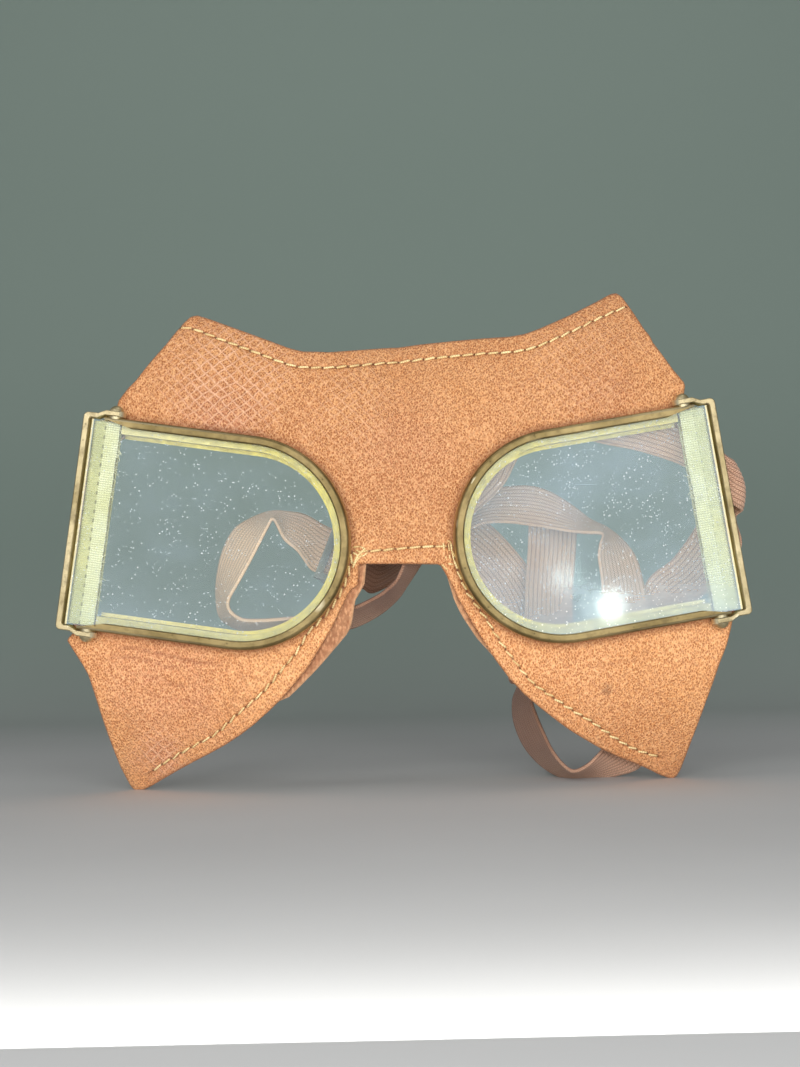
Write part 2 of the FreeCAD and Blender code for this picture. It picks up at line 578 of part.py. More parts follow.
def ribbon(edge_a, edge_b, thickness):
    """Closed flat band between two edge lines."""
    last = len(edge_a) - 1
    corners = [[], [], [], []]
    previous = None
    for i, (a, b) in enumerate(zip(edge_a, edge_b)):
        before, after = max(i - 1, 0), min(i + 1, last)
        along = (edge_a[after] + edge_b[after]) - (edge_a[before] + edge_b[before])
        normal = along.cross(b - a)
        normal.normalize()
        if previous is not None:
            # smooth the twist from station to station
            normal = normal * 0.7 + previous * 0.3
            normal.normalize()
        previous = normal
        half = normal * (thickness / 2)
        for line, point in zip(corners, (a + half, b + half, b - half, a - half)):
            line.append(point)

    triangles = []
    for i in range(last):
        for k in range(4):
            p, q = corners[k], corners[(k + 1) % 4]
            triangles.append((p[i], p[i + 1], q[i + 1]))
            triangles.append((p[i], q[i + 1], q[i]))
    for i in (0, last):
        p, q, r, s = [line[i] for line in corners]
        triangles.append((p, q, r))
        triangles.append((p, r, s))
    shell = Part.makeShell([Part.Face(Part.makePolygon([p, q, r, p]))
                            for p, q, r in triangles])
    shell.sewShape()
    return closed_solid(shell)


def thread(path):
    """Thin thread band lying in front of the leather along (x, z) points."""
    curve = catmull([(x, 0, z) for x, z in path], 4)
    edges = ([], [])
    for i, point in enumerate(curve):
        before, after = curve[max(i - 1, 0)], curve[min(i + 1, len(curve) - 1)]
        dx, dz = after.x - before.x, after.z - before.z
        length = math.hypot(dx, dz)
        across_x, across_z = -dz / length * THREAD_WIDTH / 2, dx / length * THREAD_WIDTH / 2
        for side, edge in zip((1, -1), edges):
            x, z = point.x + side * across_x, point.z + side * across_z
            edge.append(Vector(x, surface_y(x, z) - THREAD_LIFT - THREAD_T / 2, z))
    return ribbon(edges[0], edges[1], THREAD_T)


# ---- slider -----------------------------------------------------------------
def slider_placement():
    """Local x along the strap, y across it and z forward."""
    def middle(i):
        return (Vector(*STRAP_EDGE_A[i]) + Vector(*STRAP_EDGE_B[i])) * 0.5

    first, last = SLIDER_SPAN
    along = middle(last) - middle(first)
    along.normalize()
    across = Vector(*STRAP_EDGE_B[SLIDER_STATION]) - Vector(*STRAP_EDGE_A[SLIDER_STATION])
    across = across - along * across.dot(along)
    across.normalize()
    return FreeCAD.Placement(
        axes_matrix(along, across, along.cross(across), middle(SLIDER_STATION)))


def slider():
    """Two side rails, two end bars in front of the strap and a centre bar behind it."""
    length, width, bar_t, bar_width = 10.6, 17.0, 1.1, 1.8
    gap = STRAP_T / 2 + 0.12        # strap middle to the bars
    back = -gap - bar_t
    rail_y = STRAP_WIDTH / 2 + 0.35
    end_x = length / 2

    rails = [box(-end_x, end_x, side * rail_y, side * width / 2, back, gap + bar_t)
             for side in (1, -1)]
    body = rails[0].fuse(rails[1])
    for x, z in ((-end_x, gap), (end_x - bar_width, gap), (-bar_width / 2, back)):
        body = body.fuse(Part.makeBox(bar_width, width, bar_t, Vector(x, -width / 2, z)))

    # rails slope from the centre bar behind to the end bars in front
    wedge = [(1.5, back - 0.1), (end_x + 0.1, back - 0.1),
             (end_x + 0.1, gap - 0.05), (end_x - 1.6, gap - 0.05)]
    for side in (1, -1):
        for end in (1, -1):
            points = [Vector(end * x, side * (rail_y - 0.5), z) for x, z in wedge]
            body = body.cut(extrude_polygon(points, Vector(0, side * 3, 0)))
    body = body.removeSplitter()
    body.Placement = slider_placement()
    return body


# ---- write ------------------------------------------------------------------
def save(name, shape):
    if len(shape.Solids) == 1:
        shape = shape.Solids[0]
    if not shape.isValid():
        shape.fix(1e-6, 1e-6, 1e-4)
    shape.exportStep(os.path.join("parts", name + ".step"))


for name, shape in (("front_rim", front_rim()), ("back_ring", back_ring()),
                    ("clamp_ring", clamp_ring()), ("lens", lens()), ("gate", gate()),
                    ("gate_upper_rivet", rivet(1)), ("gate_lower_rivet", rivet(-1)),
                    ("edge_tape", edge_tape())):
    left = place(shape)
    save("left_" + name, left)
    save("right_" + name, mirror_x(left))

mask_outline = outline(BRIDGE_EDGE + RIGHT_FLAP_EDGE)
lining_outline = inset_polygon(
    outline(LINING_BRIDGE_EDGE + RIGHT_FLAP_EDGE[LINING_FLAP_START:]), LINING_EDGE_INSET)
save("mask_leather", mask_layer(0.0, LEATHER_T, mask_outline, OPENING_INSET))
save("mask_lining", mask_layer(LEATHER_T + LINING_GAP, LINING_T, lining_outline,
                               OPENING_INSET - 0.1))

# the top seam follows the top edge and stops short of both ends
top_seam = inset_polygon(mask_outline, TOP_SEAM_INSET)[3:len(TOP_EDGE) - 4]
save("top_seam_thread", thread(top_seam))
save("bridge_seam_thread", thread(BRIDGE_SEAM))
save("left_flap_seam_thread", thread(onto_leather(LEFT_SEAM)))
save("right_flap_seam_thread", thread(onto_leather(RIGHT_SEAM)))

save("head_strap", ribbon(catmull(STRAP_EDGE_A, 2), catmull(STRAP_EDGE_B, 2), STRAP_T))
save("strap_slider", slider())
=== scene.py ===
"""Leather goggle mask: two D-shaped brass eye frames with glass, a stitched leather mask with its
lining, cotton tape on the outboard edges and a looped elastic head strap.

Sizes are in mm unless noted. The mask faces -Y with +Z up; +X is the wearer's left (side 1) and
-X the wearer's right (side -1).
"""
import math
import bpy
import numpy as np
from mathutils import Matrix, Vector, geometry, noise


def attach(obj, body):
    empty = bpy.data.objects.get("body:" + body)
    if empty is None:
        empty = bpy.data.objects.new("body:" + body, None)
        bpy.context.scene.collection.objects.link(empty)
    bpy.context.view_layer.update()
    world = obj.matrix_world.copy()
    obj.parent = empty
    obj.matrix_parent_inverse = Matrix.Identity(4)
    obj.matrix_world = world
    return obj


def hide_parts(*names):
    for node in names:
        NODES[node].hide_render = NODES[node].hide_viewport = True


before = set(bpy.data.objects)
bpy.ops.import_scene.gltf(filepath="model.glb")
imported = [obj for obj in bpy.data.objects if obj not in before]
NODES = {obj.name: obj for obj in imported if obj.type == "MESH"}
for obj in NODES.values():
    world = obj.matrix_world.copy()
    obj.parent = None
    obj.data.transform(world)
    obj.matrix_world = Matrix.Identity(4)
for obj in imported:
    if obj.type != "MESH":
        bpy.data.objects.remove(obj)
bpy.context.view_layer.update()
MM = 0.001
ROOT = "mask_and_frames"
SIDES = ((1, "left"), (-1, "right"))

# ---------------------------------------------------------------- driving dimensions
EYE_X, EYE_Z = 39.0, -1.4            # centre of each eye
WRAP = math.radians(4.0)             # each eye plane swept back towards its outboard end
CANT = math.radians(8.8)             # outboard end of each eye raised
HALF_H = 26.2                        # half height of the D, and the radius of its round end
BAR_U = 42.9                         # eye centre to the straight outboard end of the frame
LEATHER_W, LEATHER_T = -4.90, 1.3    # depth of the leather front in the eye frame, thickness
LINING_GAP, LINING_T = 0.10, 0.8
COLLAR_GAP, COLLAR_T = 0.10, 1.0     # collar behind the lining
OPENING_S = 2.75                     # leather opening inside the frame outline
OPENING_END_U = BAR_U - 7.6
GLASS_EDGE = BAR_U - 2.0
STRAP_WIDTH, STRAP_RIB = 12.7, 1.15
COTTON_RIB = 0.56                    # pitch of the ribs in the cotton tape
FIRST_STITCH = 0.15                  # start of a seam to its first stitch hole
CAMERA_Y = 450.0                     # camera distance
CAMERA_ELEV = math.radians(1.5)      # camera looks up by this much

# Eye frame: u runs outboard, v up, w to the front; given for the left eye.
EYE_U = np.array([math.cos(WRAP) * math.cos(CANT), math.sin(WRAP) * math.cos(CANT), math.sin(CANT)])
EYE_V = np.array([-math.cos(WRAP) * math.sin(CANT), -math.sin(WRAP) * math.sin(CANT),
                  math.cos(CANT)])
EYE_W = np.array([math.sin(WRAP), -math.cos(WRAP), 0.0])
EYE_CENTRE = np.array([EYE_X, EYE_X * math.tan(WRAP), EYE_Z])

# ---------------------------------------------------------------- outlines
# (x, z) as seen from the camera in the plane y = 0; the mask outline runs clockwise from the front.
TOP_EDGE = [
    (-67.9, 33.6), (-65.9, 36.2), (-63.7, 38.4), (-59.9, 43.1), (-56.2, 47.1), (-52.5, 51.6),
    (-50.4, 53.6), (-48.8, 54.1), (-45.2, 52.9), (-38.0, 50.1), (-30.9, 47.3), (-26.5, 45.5),
    (-23.2, 44.6), (-16.4, 44.3), (-9.2, 44.7), (-1.9, 45.1), (5.3, 45.7), (12.6, 46.3),
    (19.9, 46.8), (27.1, 47.1), (30.8, 47.7), (34.4, 48.9), (41.7, 52.0), (49.0, 55.5),
    (51.5, 56.9), (53.2, 57.4), (54.6, 56.6), (56.3, 54.1), (59.8, 48.4), (61.2, 46.6),
    (61.9, 44.9), (63.3, 43.0), (66.8, 37.9), (69.4, 34.7)]
LEFT_FLAP_EDGE = [
    (77.9, -28.6), (75.9, -33.3), (72.3, -42.9), (68.6, -52.4), (66.1, -58.9), (65.1, -60.6),
    (63.9, -61.0), (61.0, -59.8), (57.4, -57.9), (53.9, -56.4), (50.3, -54.9), (46.7, -53.0),
    (43.1, -50.8), (39.5, -48.5), (36.0, -45.8), (32.4, -42.9), (28.8, -39.7), (25.3, -35.9),
    (21.8, -31.0), (18.3, -25.3), (14.9, -19.4), (13.0, -15.8), (11.5, -12.3), (10.1, -9.7),
    (9.0, -7.8)]
BRIDGE_EDGE = [
    (0.0, -7.5), (-10.6, -7.3), (-10.8, -12.4), (-12.9, -13.7), (-14.5, -16.8), (-16.3, -20.4),
    (-18.3, -24.1), (-20.8, -28.0)]
RIGHT_FLAP_EDGE = [
    (-23.0, -31.4), (-25.6, -34.6), (-29.1, -38.6), (-32.8, -42.1), (-36.5, -45.3),
    (-40.2, -48.0), (-43.9, -50.3), (-47.5, -52.2), (-51.2, -54.0), (-54.9, -55.9),
    (-58.5, -57.9), (-62.2, -60.0), (-64.4, -61.0), (-66.2, -60.9), (-67.2, -59.6),
    (-69.4, -54.9), (-72.4, -46.2), (-75.2, -36.8), (-76.5, -32.6), (-77.8, -30.2),
    (-80.1, -26.4), (-81.5, -24.0)]
LINING_BRIDGE_EDGE = [
    (0.0, -7.5), (-7.6, -7.3), (-8.2, -12.6), (-10.6, -16.6), (-11.3, -21.4), (-12.4, -24.3),
    (-16.4, -28.9), (-20.3, -33.2), (-24.4, -37.2), (-27.5, -40.1)]
TOP_SEAM_START = [(-52.9, 51.1), (-50.5, 50.9), (-48.0, 50.1), (-45.0, 48.8)]
TOP_SEAM_END = [(50.4, 51.8), (55.6, 53.8)]
LEFT_SEAM = [
    (12.0, -3.6), (12.9, -8.4), (15.0, -13.8), (17.6, -17.9), (20.1, -21.5), (22.4, -25.6),
    (25.4, -30.0), (30.1, -36.2), (34.2, -39.4), (40.1, -43.6), (44.9, -46.6), (51.5, -51.4),
    (56.3, -53.9), (61.8, -55.7)]
RIGHT_SEAM = [
    (-12.1, -4.4), (-13.0, -9.1), (-14.7, -13.4), (-17.3, -17.5), (-20.1, -20.7), (-23.0, -23.2),
    (-25.7, -27.7), (-30.2, -32.9), (-34.7, -37.9), (-40.1, -42.4), (-46.2, -47.6),
    (-51.1, -50.1), (-58.4, -54.1), (-62.6, -56.9)]

# (x, z) on the leather itself
BRIDGE_SEAM = [(11.2, -3.4), (6.0, -3.3), (0.0, -3.6), (-6.0, -4.0), (-11.0, -4.2)]
# pressed creases: (x, z) line, depth, width
CREASES = [
    ([(-73.5, -26.0), (-66.0, -26.9), (-58.0, -28.8), (-50.0, -30.6), (-42.0, -31.6)], 0.34, 0.50),
    ([(-75.0, -29.0), (-67.0, -28.9), (-60.0, -30.9), (-53.0, -32.6)], 0.30, 0.45),
    ([(-70.0, -33.4), (-63.0, -33.6), (-57.0, -35.8), (-52.0, -37.2)], 0.24, 0.45),
    ([(-62.0, -39.6), (-55.0, -39.4), (-49.0, -41.8), (-44.0, -44.5)], 0.18, 0.50),
    ([(-41.4, -36.4), (-42.0, -39.6), (-41.2, -42.0)], 0.22, 0.40),
    ([(-70.5, -47.0), (-66.8, -48.5), (-63.4, -47.7)], 0.22, 0.45),
    ([(-64.0, -52.0), (-60.0, -50.0), (-56.5, -51.8)], 0.16, 0.45),
    ([(16.5, 14.0), (11.5, 8.5), (8.5, 2.0)], 0.10, 0.9),
    ([(-17.5, 24.0), (-12.0, 14.0), (-10.0, 4.0)], 0.10, 0.9),
    ([(44.0, -34.0), (52.0, -33.0), (60.0, -31.0)], 0.16, 0.6),
    ([(58.0, -38.0), (63.0, -42.0), (66.0, -48.0)], 0.14, 0.6),
    ([(62.0, 40.0), (52.0, 34.5), (44.0, 32.5)], 0.12, 0.8),
    ([(-58.0, 40.0), (-50.0, 36.0), (-42.0, 34.0)], 0.10, 0.8)]
# loose stitches at both ends of the bridge seam: start and end (x, z)
TACKS = [
    ((-12.19, -3.07), (-10.33, -2.92)), ((-10.33, -2.92), (-8.88, -3.63)),
    ((-11.56, -3.67), (-9.49, -4.69)), ((-12.21, -4.34), (-10.38, -5.36)),
    ((-8.87, -3.14), (-11.96, -6.2)), ((-9.48, -4.4), (-11.79, -7.09)),
    ((-10.36, -4.38), (-12.29, -7.66)), ((-11.28, -6.22), (-12.3, -8.25)),
    ((-8.41, -4.42), (-10.39, -5.75)), ((10.01, -2.38), (10.25, -4.83)),
    ((10.25, -4.83), (10.88, -7.29)), ((11.09, -1.92), (12.0, -2.53)),
    ((11.9, -2.53), (12.1, -4.69)), ((12.1, -4.69), (12.6, -7.05)),
    ((11.28, -2.51), (11.52, -4.86)), ((11.37, -4.86), (11.67, -7.01)),
    ((9.3, -7.5), (11.12, -9.34)), ((10.87, -7.58), (12.4, -7.81))]

# The two long edges of the strap, (x, y, z) at matching stations along it
STRAP_EDGE_A = [
    (46.07, 38.0, 8.61), (45.56, 38.0, -3.16), (44.5, 38.0, -14.95), (44.32, 39.05, -25.41),
    (44.65, 41.98, -34.74), (49.21, 41.2, -39.82), (54.33, 38.92, -35.6), (57.27, 33.64, -28.15),
    (62.6, 30.0, -13.22), (69.31, 27.0, -7.17), (75.79, 24.0, 2.34), (81.78, 21.0, 14.46),
    (83.45, 18.0, 16.72), (80.73, 15.6, 18.81), (74.43, 16.3, 27.03), (62.9, 17.3, 31.87),
    (50.51, 18.2, 34.97), (40.55, 18.5, 38.91), (34.37, 21.15, 45.59), (27.99, 24.13, 46.61),
    (24.06, 24.81, 40.15), (20.59, 24.06, 34.54), (19.77, 18.0, 28.91), (17.35, 17.5, 22.78),
    (13.81, 17.5, 17.14), (7.72, 14.57, 11.19), (3.02, 11.79, 2.23), (-0.71, 10.84, -9.6),
    (-4.27, 10.9, -13.73), (-8.28, 11.02, -16.11), (-12.79, 11.42, -18.0), (-17.56, 12.52, -19.16),
    (-22.86, 13.9, -19.81), (-28.37, 14.28, -20.2), (-35.37, 14.55, -20.55),
    (-40.37, 14.77, -20.19), (-43.32, 14.82, -17.88), (-43.52, 14.85, -15.38),
    (-41.74, 15.3, -12.18), (-38.72, 16.33, -6.99), (-35.89, 16.83, -1.78), (-33.56, 17.11, 2.69),
    (-32.06, 17.74, 4.43), (-29.81, 20.22, -0.33), (-26.49, 22.69, -3.65), (-23.55, 25.68, -8.11),
    (-20.46, 25.68, -9.33), (-17.14, 25.68, -10.64), (-13.81, 25.68, -11.95),
    (-10.49, 25.68, -13.26), (-7.4, 25.68, -14.47), (0.27, 24.53, -10.32), (7.03, 24.66, -4.35),
    (15.28, 24.85, 0.06), (21.19, 24.71, 2.48), (26.8, 24.66, 2.61), (33.16, 24.78, 1.71),
    (37.91, 23.78, 0.81), (42.57, 22.1, -0.1), (46.75, 20.88, -0.47), (50.46, 20.22, -0.82),
    (49.92, 20.32, -3.08), (49.44, 21.26, -6.59), (50.12, 21.72, -12.43), (50.35, 22.88, -19.03),
    (50.49, 25.5, -26.73), (50.17, 26.5, -35.46), (49.98, 27.5, -44.22), (50.25, 26.07, -51.02),
    (49.67, 23.82, -54.65), (47.33, 21.41, -57.17), (44.7, 20.87, -59.33), (41.68, 21.23, -60.32),
    (39.08, 22.87, -58.39), (36.76, 24.65, -54.95), (35.19, 26.44, -51.24), (33.39, 28.4, -46.48),
    (32.57, 30.16, -42.46), (35.16, 32.43, -37.99), (38.86, 40.0, -33.26), (39.13, 42.0, -24.7),
    (35.85, 42.0, -12.89), (27.09, 42.0, -0.87), (16.58, 40.0, 8.9), (6.9, 37.0, 20.82),
    (-1.15, 33.0, 31.38), (-12.18, 29.0, 39.7), (-25.67, 26.0, 45.58), (-38.87, 23.0, 47.64),
    (-51.03, 20.5, 47.64), (-62.5, 19.0, 40.71), (-74.29, 21.7, 31.31), (-78.76, 23.01, 22.13),
    (-81.3, 23.33, 13.31), (-83.55, 23.32, 3.2), (-84.7, 23.35, -2.62)]
STRAP_EDGE_B = [
    (33.38, 38.0, 8.15), (32.86, 38.0, -3.37), (31.82, 38.0, -15.64), (31.99, 35.95, -27.67),
    (37.91, 31.02, -36.95), (45.88, 28.8, -40.86), (57.64, 28.08, -39.79), (65.73, 30.36, -36.49),
    (71.63, 30.0, -22.15), (79.75, 27.0, -14.39), (86.24, 24.0, -4.87), (84.19, 21.0, 1.99),
    (85.33, 18.0, 4.16), (82.28, 15.6, 6.2), (72.91, 16.3, 14.42), (61.38, 17.3, 19.26),
    (48.75, 18.2, 22.39), (37.83, 18.5, 26.5), (29.75, 15.85, 34.28), (25.22, 12.87, 39.8),
    (22.65, 12.19, 37.54), (25.0, 12.94, 29.87), (31.1, 18.0, 23.18), (28.68, 17.5, 17.04),
    (24.67, 17.5, 10.55), (15.18, 19.83, 2.46), (8.04, 22.21, -2.89), (1.77, 23.16, -11.37),
    (-1.64, 23.1, -16.12), (-6.55, 22.98, -20.08), (-12.71, 23.18, -23.0), (-17.85, 24.48, -23.68),
    (-23.28, 26.1, -23.6), (-29.18, 26.72, -22.98), (-36.38, 27.05, -23.09),
    (-42.53, 27.23, -22.7), (-46.82, 27.18, -19.79), (-47.72, 27.15, -14.39),
    (-47.3, 26.7, -8.76), (-45.89, 26.67, -2.91), (-43.0, 27.17, 2.42), (-38.73, 28.89, 5.2),
    (-33.64, 30.26, 6.94), (-28.78, 30.78, 6.85), (-24.67, 30.91, 6.0), (-19.41, 30.32, 2.97),
    (-16.29, 30.32, 1.74), (-12.94, 30.32, 0.42), (-9.58, 30.32, -0.91), (-6.22, 30.32, -2.23),
    (-3.1, 30.32, -3.46), (-0.05, 33.47, -1.2), (5.77, 35.34, 2.62), (13.95, 35.15, 7.65),
    (20.5, 34.29, 11.11), (26.98, 33.34, 12.22), (33.39, 32.22, 12.28), (38.53, 32.22, 10.62),
    (44.21, 32.9, 6.9), (48.81, 33.12, 3.17), (52.88, 32.78, 1.0), (56.83, 31.68, -2.22),
    (59.86, 29.74, -6.45), (61.43, 28.88, -11.9), (62.66, 27.72, -19.11), (63.19, 25.5, -27.01),
    (62.86, 26.5, -35.98), (62.64, 27.5, -45.24), (62.57, 28.93, -54.35), (60.02, 30.18, -60.59),
    (53.23, 32.19, -62.97), (47.62, 33.13, -63.46), (42.75, 33.77, -63.68), (38.72, 35.13, -62.7),
    (34.19, 36.35, -59.59), (30.45, 37.56, -54.91), (28.35, 39.6, -49.0), (28.34, 41.84, -43.62),
    (29.85, 43.57, -39.52), (27.15, 40.0, -38.17), (26.77, 42.0, -27.63), (24.19, 42.0, -17.92),
    (17.8, 42.0, -9.53), (7.77, 40.0, -0.24), (-1.53, 37.0, 11.33), (-8.64, 33.0, 21.13),
    (-17.24, 29.0, 28.04), (-28.1, 26.0, 33.11), (-40.36, 23.0, 35.03), (-52.28, 20.5, 35.0),
    (-57.87, 19.0, 28.88), (-66.51, 15.5, 22.1), (-70.01, 14.59, 15.63), (-71.85, 14.27, 8.92),
    (-73.54, 14.28, 0.23), (-74.65, 14.25, -5.23)]
# station: shift, where the web lies tighter behind the tape and under its own turn
TUCK_A = {0: (0, 0, -2.3)}
TUCK_B = {0: (0, 0, -1.0), 90: (-0.6, 0, 1.6), 91: (-3.2, -0.5, 3.0), 92: (-1.9, 0, 0.8),
          93: (-1.3, 0, 0), 94: (-1.2, 0, 0), 95: (-1.0, 0, 0)}


# ---------------------------------------------------------------- eye frame and mask surface
def eye_point(u, v, w, side):
    x, y, z = EYE_CENTRE + EYE_U * u + EYE_V * v + EYE_W * w
    return np.array([side * x, y, z])


def leather_point(u, v, side):
    """(x, z) of an eye frame place at the depth of the leather front"""
    point = eye_point(u, v, LEATHER_W, side)
    return point[0], point[2]


def eye_distance(x, z):
    """distance outside the D of the nearer frame, seen from the front"""
    dx, dz = np.abs(x) - EYE_CENTRE[0], z - EYE_CENTRE[2]
    det = EYE_U[0] * EYE_V[2] - EYE_V[0] * EYE_U[2]
    u = (dx * EYE_V[2] - EYE_V[0] * dz) / det
    v = (EYE_U[0] * dz - EYE_U[2] * dx) / det
    return np.maximum(np.where(u < 0, np.hypot(u, v) - HALF_H, np.abs(v) - HALF_H), 0.0)


def surface_y(x, z):
    """y of the leather front"""
    x = np.asarray(x, float)
    z = np.asarray(z, float)
    # two swept-back planes, rounded where they meet at x = 0
    base = math.tan(WRAP) * np.sqrt(x * x + 9.0) - LEATHER_W / math.cos(WRAP)
    free = np.maximum(eye_distance(x, z) - 3.0, 0.0)
    roll = 0.0125 * free * free
    nose = (np.exp(-((x / 15.0) ** 2)) * np.maximum(-z - 12.0, 0.0) * 0.10
            * np.minimum(free / 4.0, 1.0))
    wave = 0.35 * np.sin(x * 0.115 + 0.6) * np.minimum(free / 8.0, 1.0)
    return base + roll + nose + wave


def on_leather(point):
    """moves a point of the plane y = 0 along the camera's line of sight onto the leather"""
    y = float(surface_y(point[0], point[1]))
    scale = (CAMERA_Y + y) / CAMERA_Y
    return (point[0] * scale, point[1] * scale + y * math.tan(CAMERA_ELEV))


# ---------------------------------------------------------------- lines and noise
def run_length(points):
    """length along a line at each of its points"""
    return np.concatenate([[0], np.cumsum(np.linalg.norm(np.diff(points, axis=0), axis=1))])


def unit(vectors):
    return vectors / np.linalg.norm(vectors, axis=1, keepdims=True)


def side_normals(steps):
    """unit normals to the right of 2D steps"""
    length = np.maximum(np.linalg.norm(steps, axis=1, keepdims=True), 1e-9)
    return np.stack([steps[:, 1], -steps[:, 0]], 1) / length


def rounded(points, steps):
    """Catmull-Rom curve through the points, with this many steps in each span"""
    points = np.array(points, float)
    last = len(points) - 1
    curve = []
    for i in range(last):
        before, start = points[max(i - 1, 0)], points[i]
        end, after = points[i + 1], points[min(i + 2, last)]
        for k in range(steps):
            t = k / steps
            curve.append(0.5 * ((2 * start) + (-before + end) * t
                                + (2 * before - 5 * start + 4 * end - after) * t * t
                                + (-before + 3 * start - 3 * end + after) * t ** 3))
    curve.append(points[-1])
    return np.array(curve)


def resample(points, step, closed=False, smooth=True):
    """even steps along a line; an open line may first be rounded between its points"""
    line = rounded(points, 8) if smooth else np.array(points, float)
    if closed:
        line = np.vstack([line, line[:1]])
    run = run_length(line)
    count = max(int(round(run[-1] / step)), 3)
    at = np.linspace(0, run[-1], count, endpoint=not closed)
    return np.stack([np.interp(at, run, line[:, k]) for k in range(line.shape[1])], 1)


def inset(outline, distance):
    """shrinks a clockwise outline"""
    outline = np.array(outline, float)
    normal_in = side_normals(outline - np.roll(outline, 1, 0))
    normal_out = side_normals(np.roll(outline, -1, 0) - outline)
    mitre = normal_in + normal_out
    mitre = mitre / np.maximum(np.linalg.norm(mitre, axis=1, keepdims=True), 1e-9)
    reach = distance / np.maximum((mitre * normal_in).sum(1), 0.6)
    return outline + mitre * reach[:, None]


def inside(outline, points):
    x, y = points[:, 0], points[:, 1]
    result = np.zeros(len(points), bool)
    for (x1, y1), (x2, y2) in zip(outline, np.roll(outline, -1, 0)):
        if y1 == y2:
            continue
        result ^= ((y1 > y) != (y2 > y)) & (x < (x2 - x1) * (y - y1) / (y2 - y1) + x1)
    return result


def nearest_on(path, points, closed=False):
    """distance of each point to a line, and the length along the line at the nearest place"""
    path = np.asarray(path, float)
    if closed:
        path = np.vstack([path, path[:1]])
    best = np.full(len(points), 1e9)
    along = np.zeros(len(points))
    run = 0.0
    for start, end in zip(path[:-1], path[1:]):
        step = end - start
        square = step @ step
        if square == 0:
            continue
        t = np.clip(((points - start) @ step) / square, 0, 1)
        distance = np.linalg.norm(points - (start + t[:, None] * step), axis=1)
        closer = distance < best
        best[closer] = distance[closer]
        along[closer] = run + t[closer] * math.sqrt(square)
        run += math.sqrt(square)
    return best, along


def smooth01(x):
    x = np.clip(x, 0, 1)
    return x * x * (3 - 2 * x)


def smooth_noise(points, scale, seed):
    """smooth noise, about -1..1"""
    return np.array([noise.noise(Vector((x * scale + seed, y * scale - seed, z * scale + 2 * seed)))
                     for x, y, z in points])


# ---------------------------------------------------------------- sheet outlines
def outboard(side):
    """edge of the sheets behind the straight end of the frame, from the top down"""
    end = BAR_U - 2.4
    places = [(36.4, 27.6), (36.9, 25.6), (end - 1.5, 24.9), (end, 23.6), (end, 0), (end, -23.6),
              (end - 0.7, -25.6), (end - 1.3, -27.2)]
    return [leather_point(u, v, side) for u, v in places]


def nose_strip(point):
    """moves the lining towards the nose, to show as a second strip beside the left flap"""
    if point[0] > 26 or point[1] < -34 or point[1] > -8:
        return point
    k = math.sin(math.pi * min(max((-8 - point[1]) / 25.0, 0), 1)) ** 0.6
    return (point[0] - 2.1 * k, point[1] - 1.2 * k)


def d_opening(inward, side, step):
    """D-shaped hole, set inward from the frame outline"""
    radius = HALF_H - inward
    count = int(math.pi * radius / step)
    places = [(OPENING_END_U, radius)]
    places += [(radius * math.cos(a), radius * math.sin(a))
               for a in np.linspace(math.pi / 2, 1.5 * math.pi, count)]
    places += [(OPENING_END_U, -radius)]
    return resample([leather_point(u, v, side) for u, v in places], step, closed=True, smooth=False)


def all_on_leather(points):
    return [on_leather(p) for p in points]


MASK = np.array(all_on_leather(TOP_EDGE) + outboard(1) + all_on_leather(LEFT_FLAP_EDGE)
                + all_on_leather(BRIDGE_EDGE) + all_on_leather(RIGHT_FLAP_EDGE)
                + outboard(-1)[::-1])
LINING = inset(all_on_leather(TOP_EDGE) + outboard(1)
               + all_on_leather(nose_strip(p) for p in LEFT_FLAP_EDGE)
               + all_on_leather(LINING_BRIDGE_EDGE) + all_on_leather(RIGHT_FLAP_EDGE[3:])
               + outboard(-1)[::-1], 1.2)
TOP_INSET = inset(MASK, 4.1)[:len(TOP_EDGE)]
TOP_SEAM = (all_on_leather(TOP_SEAM_START) + [tuple(p) for p in TOP_INSET if -42.5 < p[0] < 47.0]
            + all_on_leather(TOP_SEAM_END))
# seam: stitch pitch, line
SEAMS = {
    "top": (3.15, resample(TOP_SEAM, 0.5)),
    "bridge": (3.2, resample(BRIDGE_SEAM, 0.5)),
    "left_flap": (2.85, resample(all_on_leather(LEFT_SEAM), 0.5)),
    "right_flap": (2.95, resample(all_on_leather(RIGHT_SEAM), 0.5)),
}


# ---------------------------------------------------------------- mesh building
def make_object(name, points, faces, material, replaces, attributes=None, weave=None):
    mesh = bpy.data.meshes.new(name)
    mesh.from_pydata([tuple(p * MM) for p in np.asarray(points, float)], [],
                     [tuple(map(int, f)) for f in faces])
    mesh.validate()
    mesh.update()
    for key, values in (attributes or {}).items():
        attribute = mesh.attributes.new(key, "FLOAT", "POINT")
        attribute.data.foreach_set("value", np.asarray(values, np.float32))
    if weave is not None:
        layer = mesh.uv_layers.new(name="weave")
        corner = np.zeros(len(mesh.loops), np.int32)
        mesh.loops.foreach_get("vertex_index", corner)
        layer.data.foreach_set("uv", np.asarray(weave, np.float32)[corner].ravel())
    mesh.polygons.foreach_set("use_smooth", [True] * len(mesh.polygons))
    mesh.materials.append(material)
    ob = bpy.data.objects.new(name, mesh)
    bpy.context.scene.collection.objects.link(ob)
    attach(ob, ROOT)
    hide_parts(replaces)


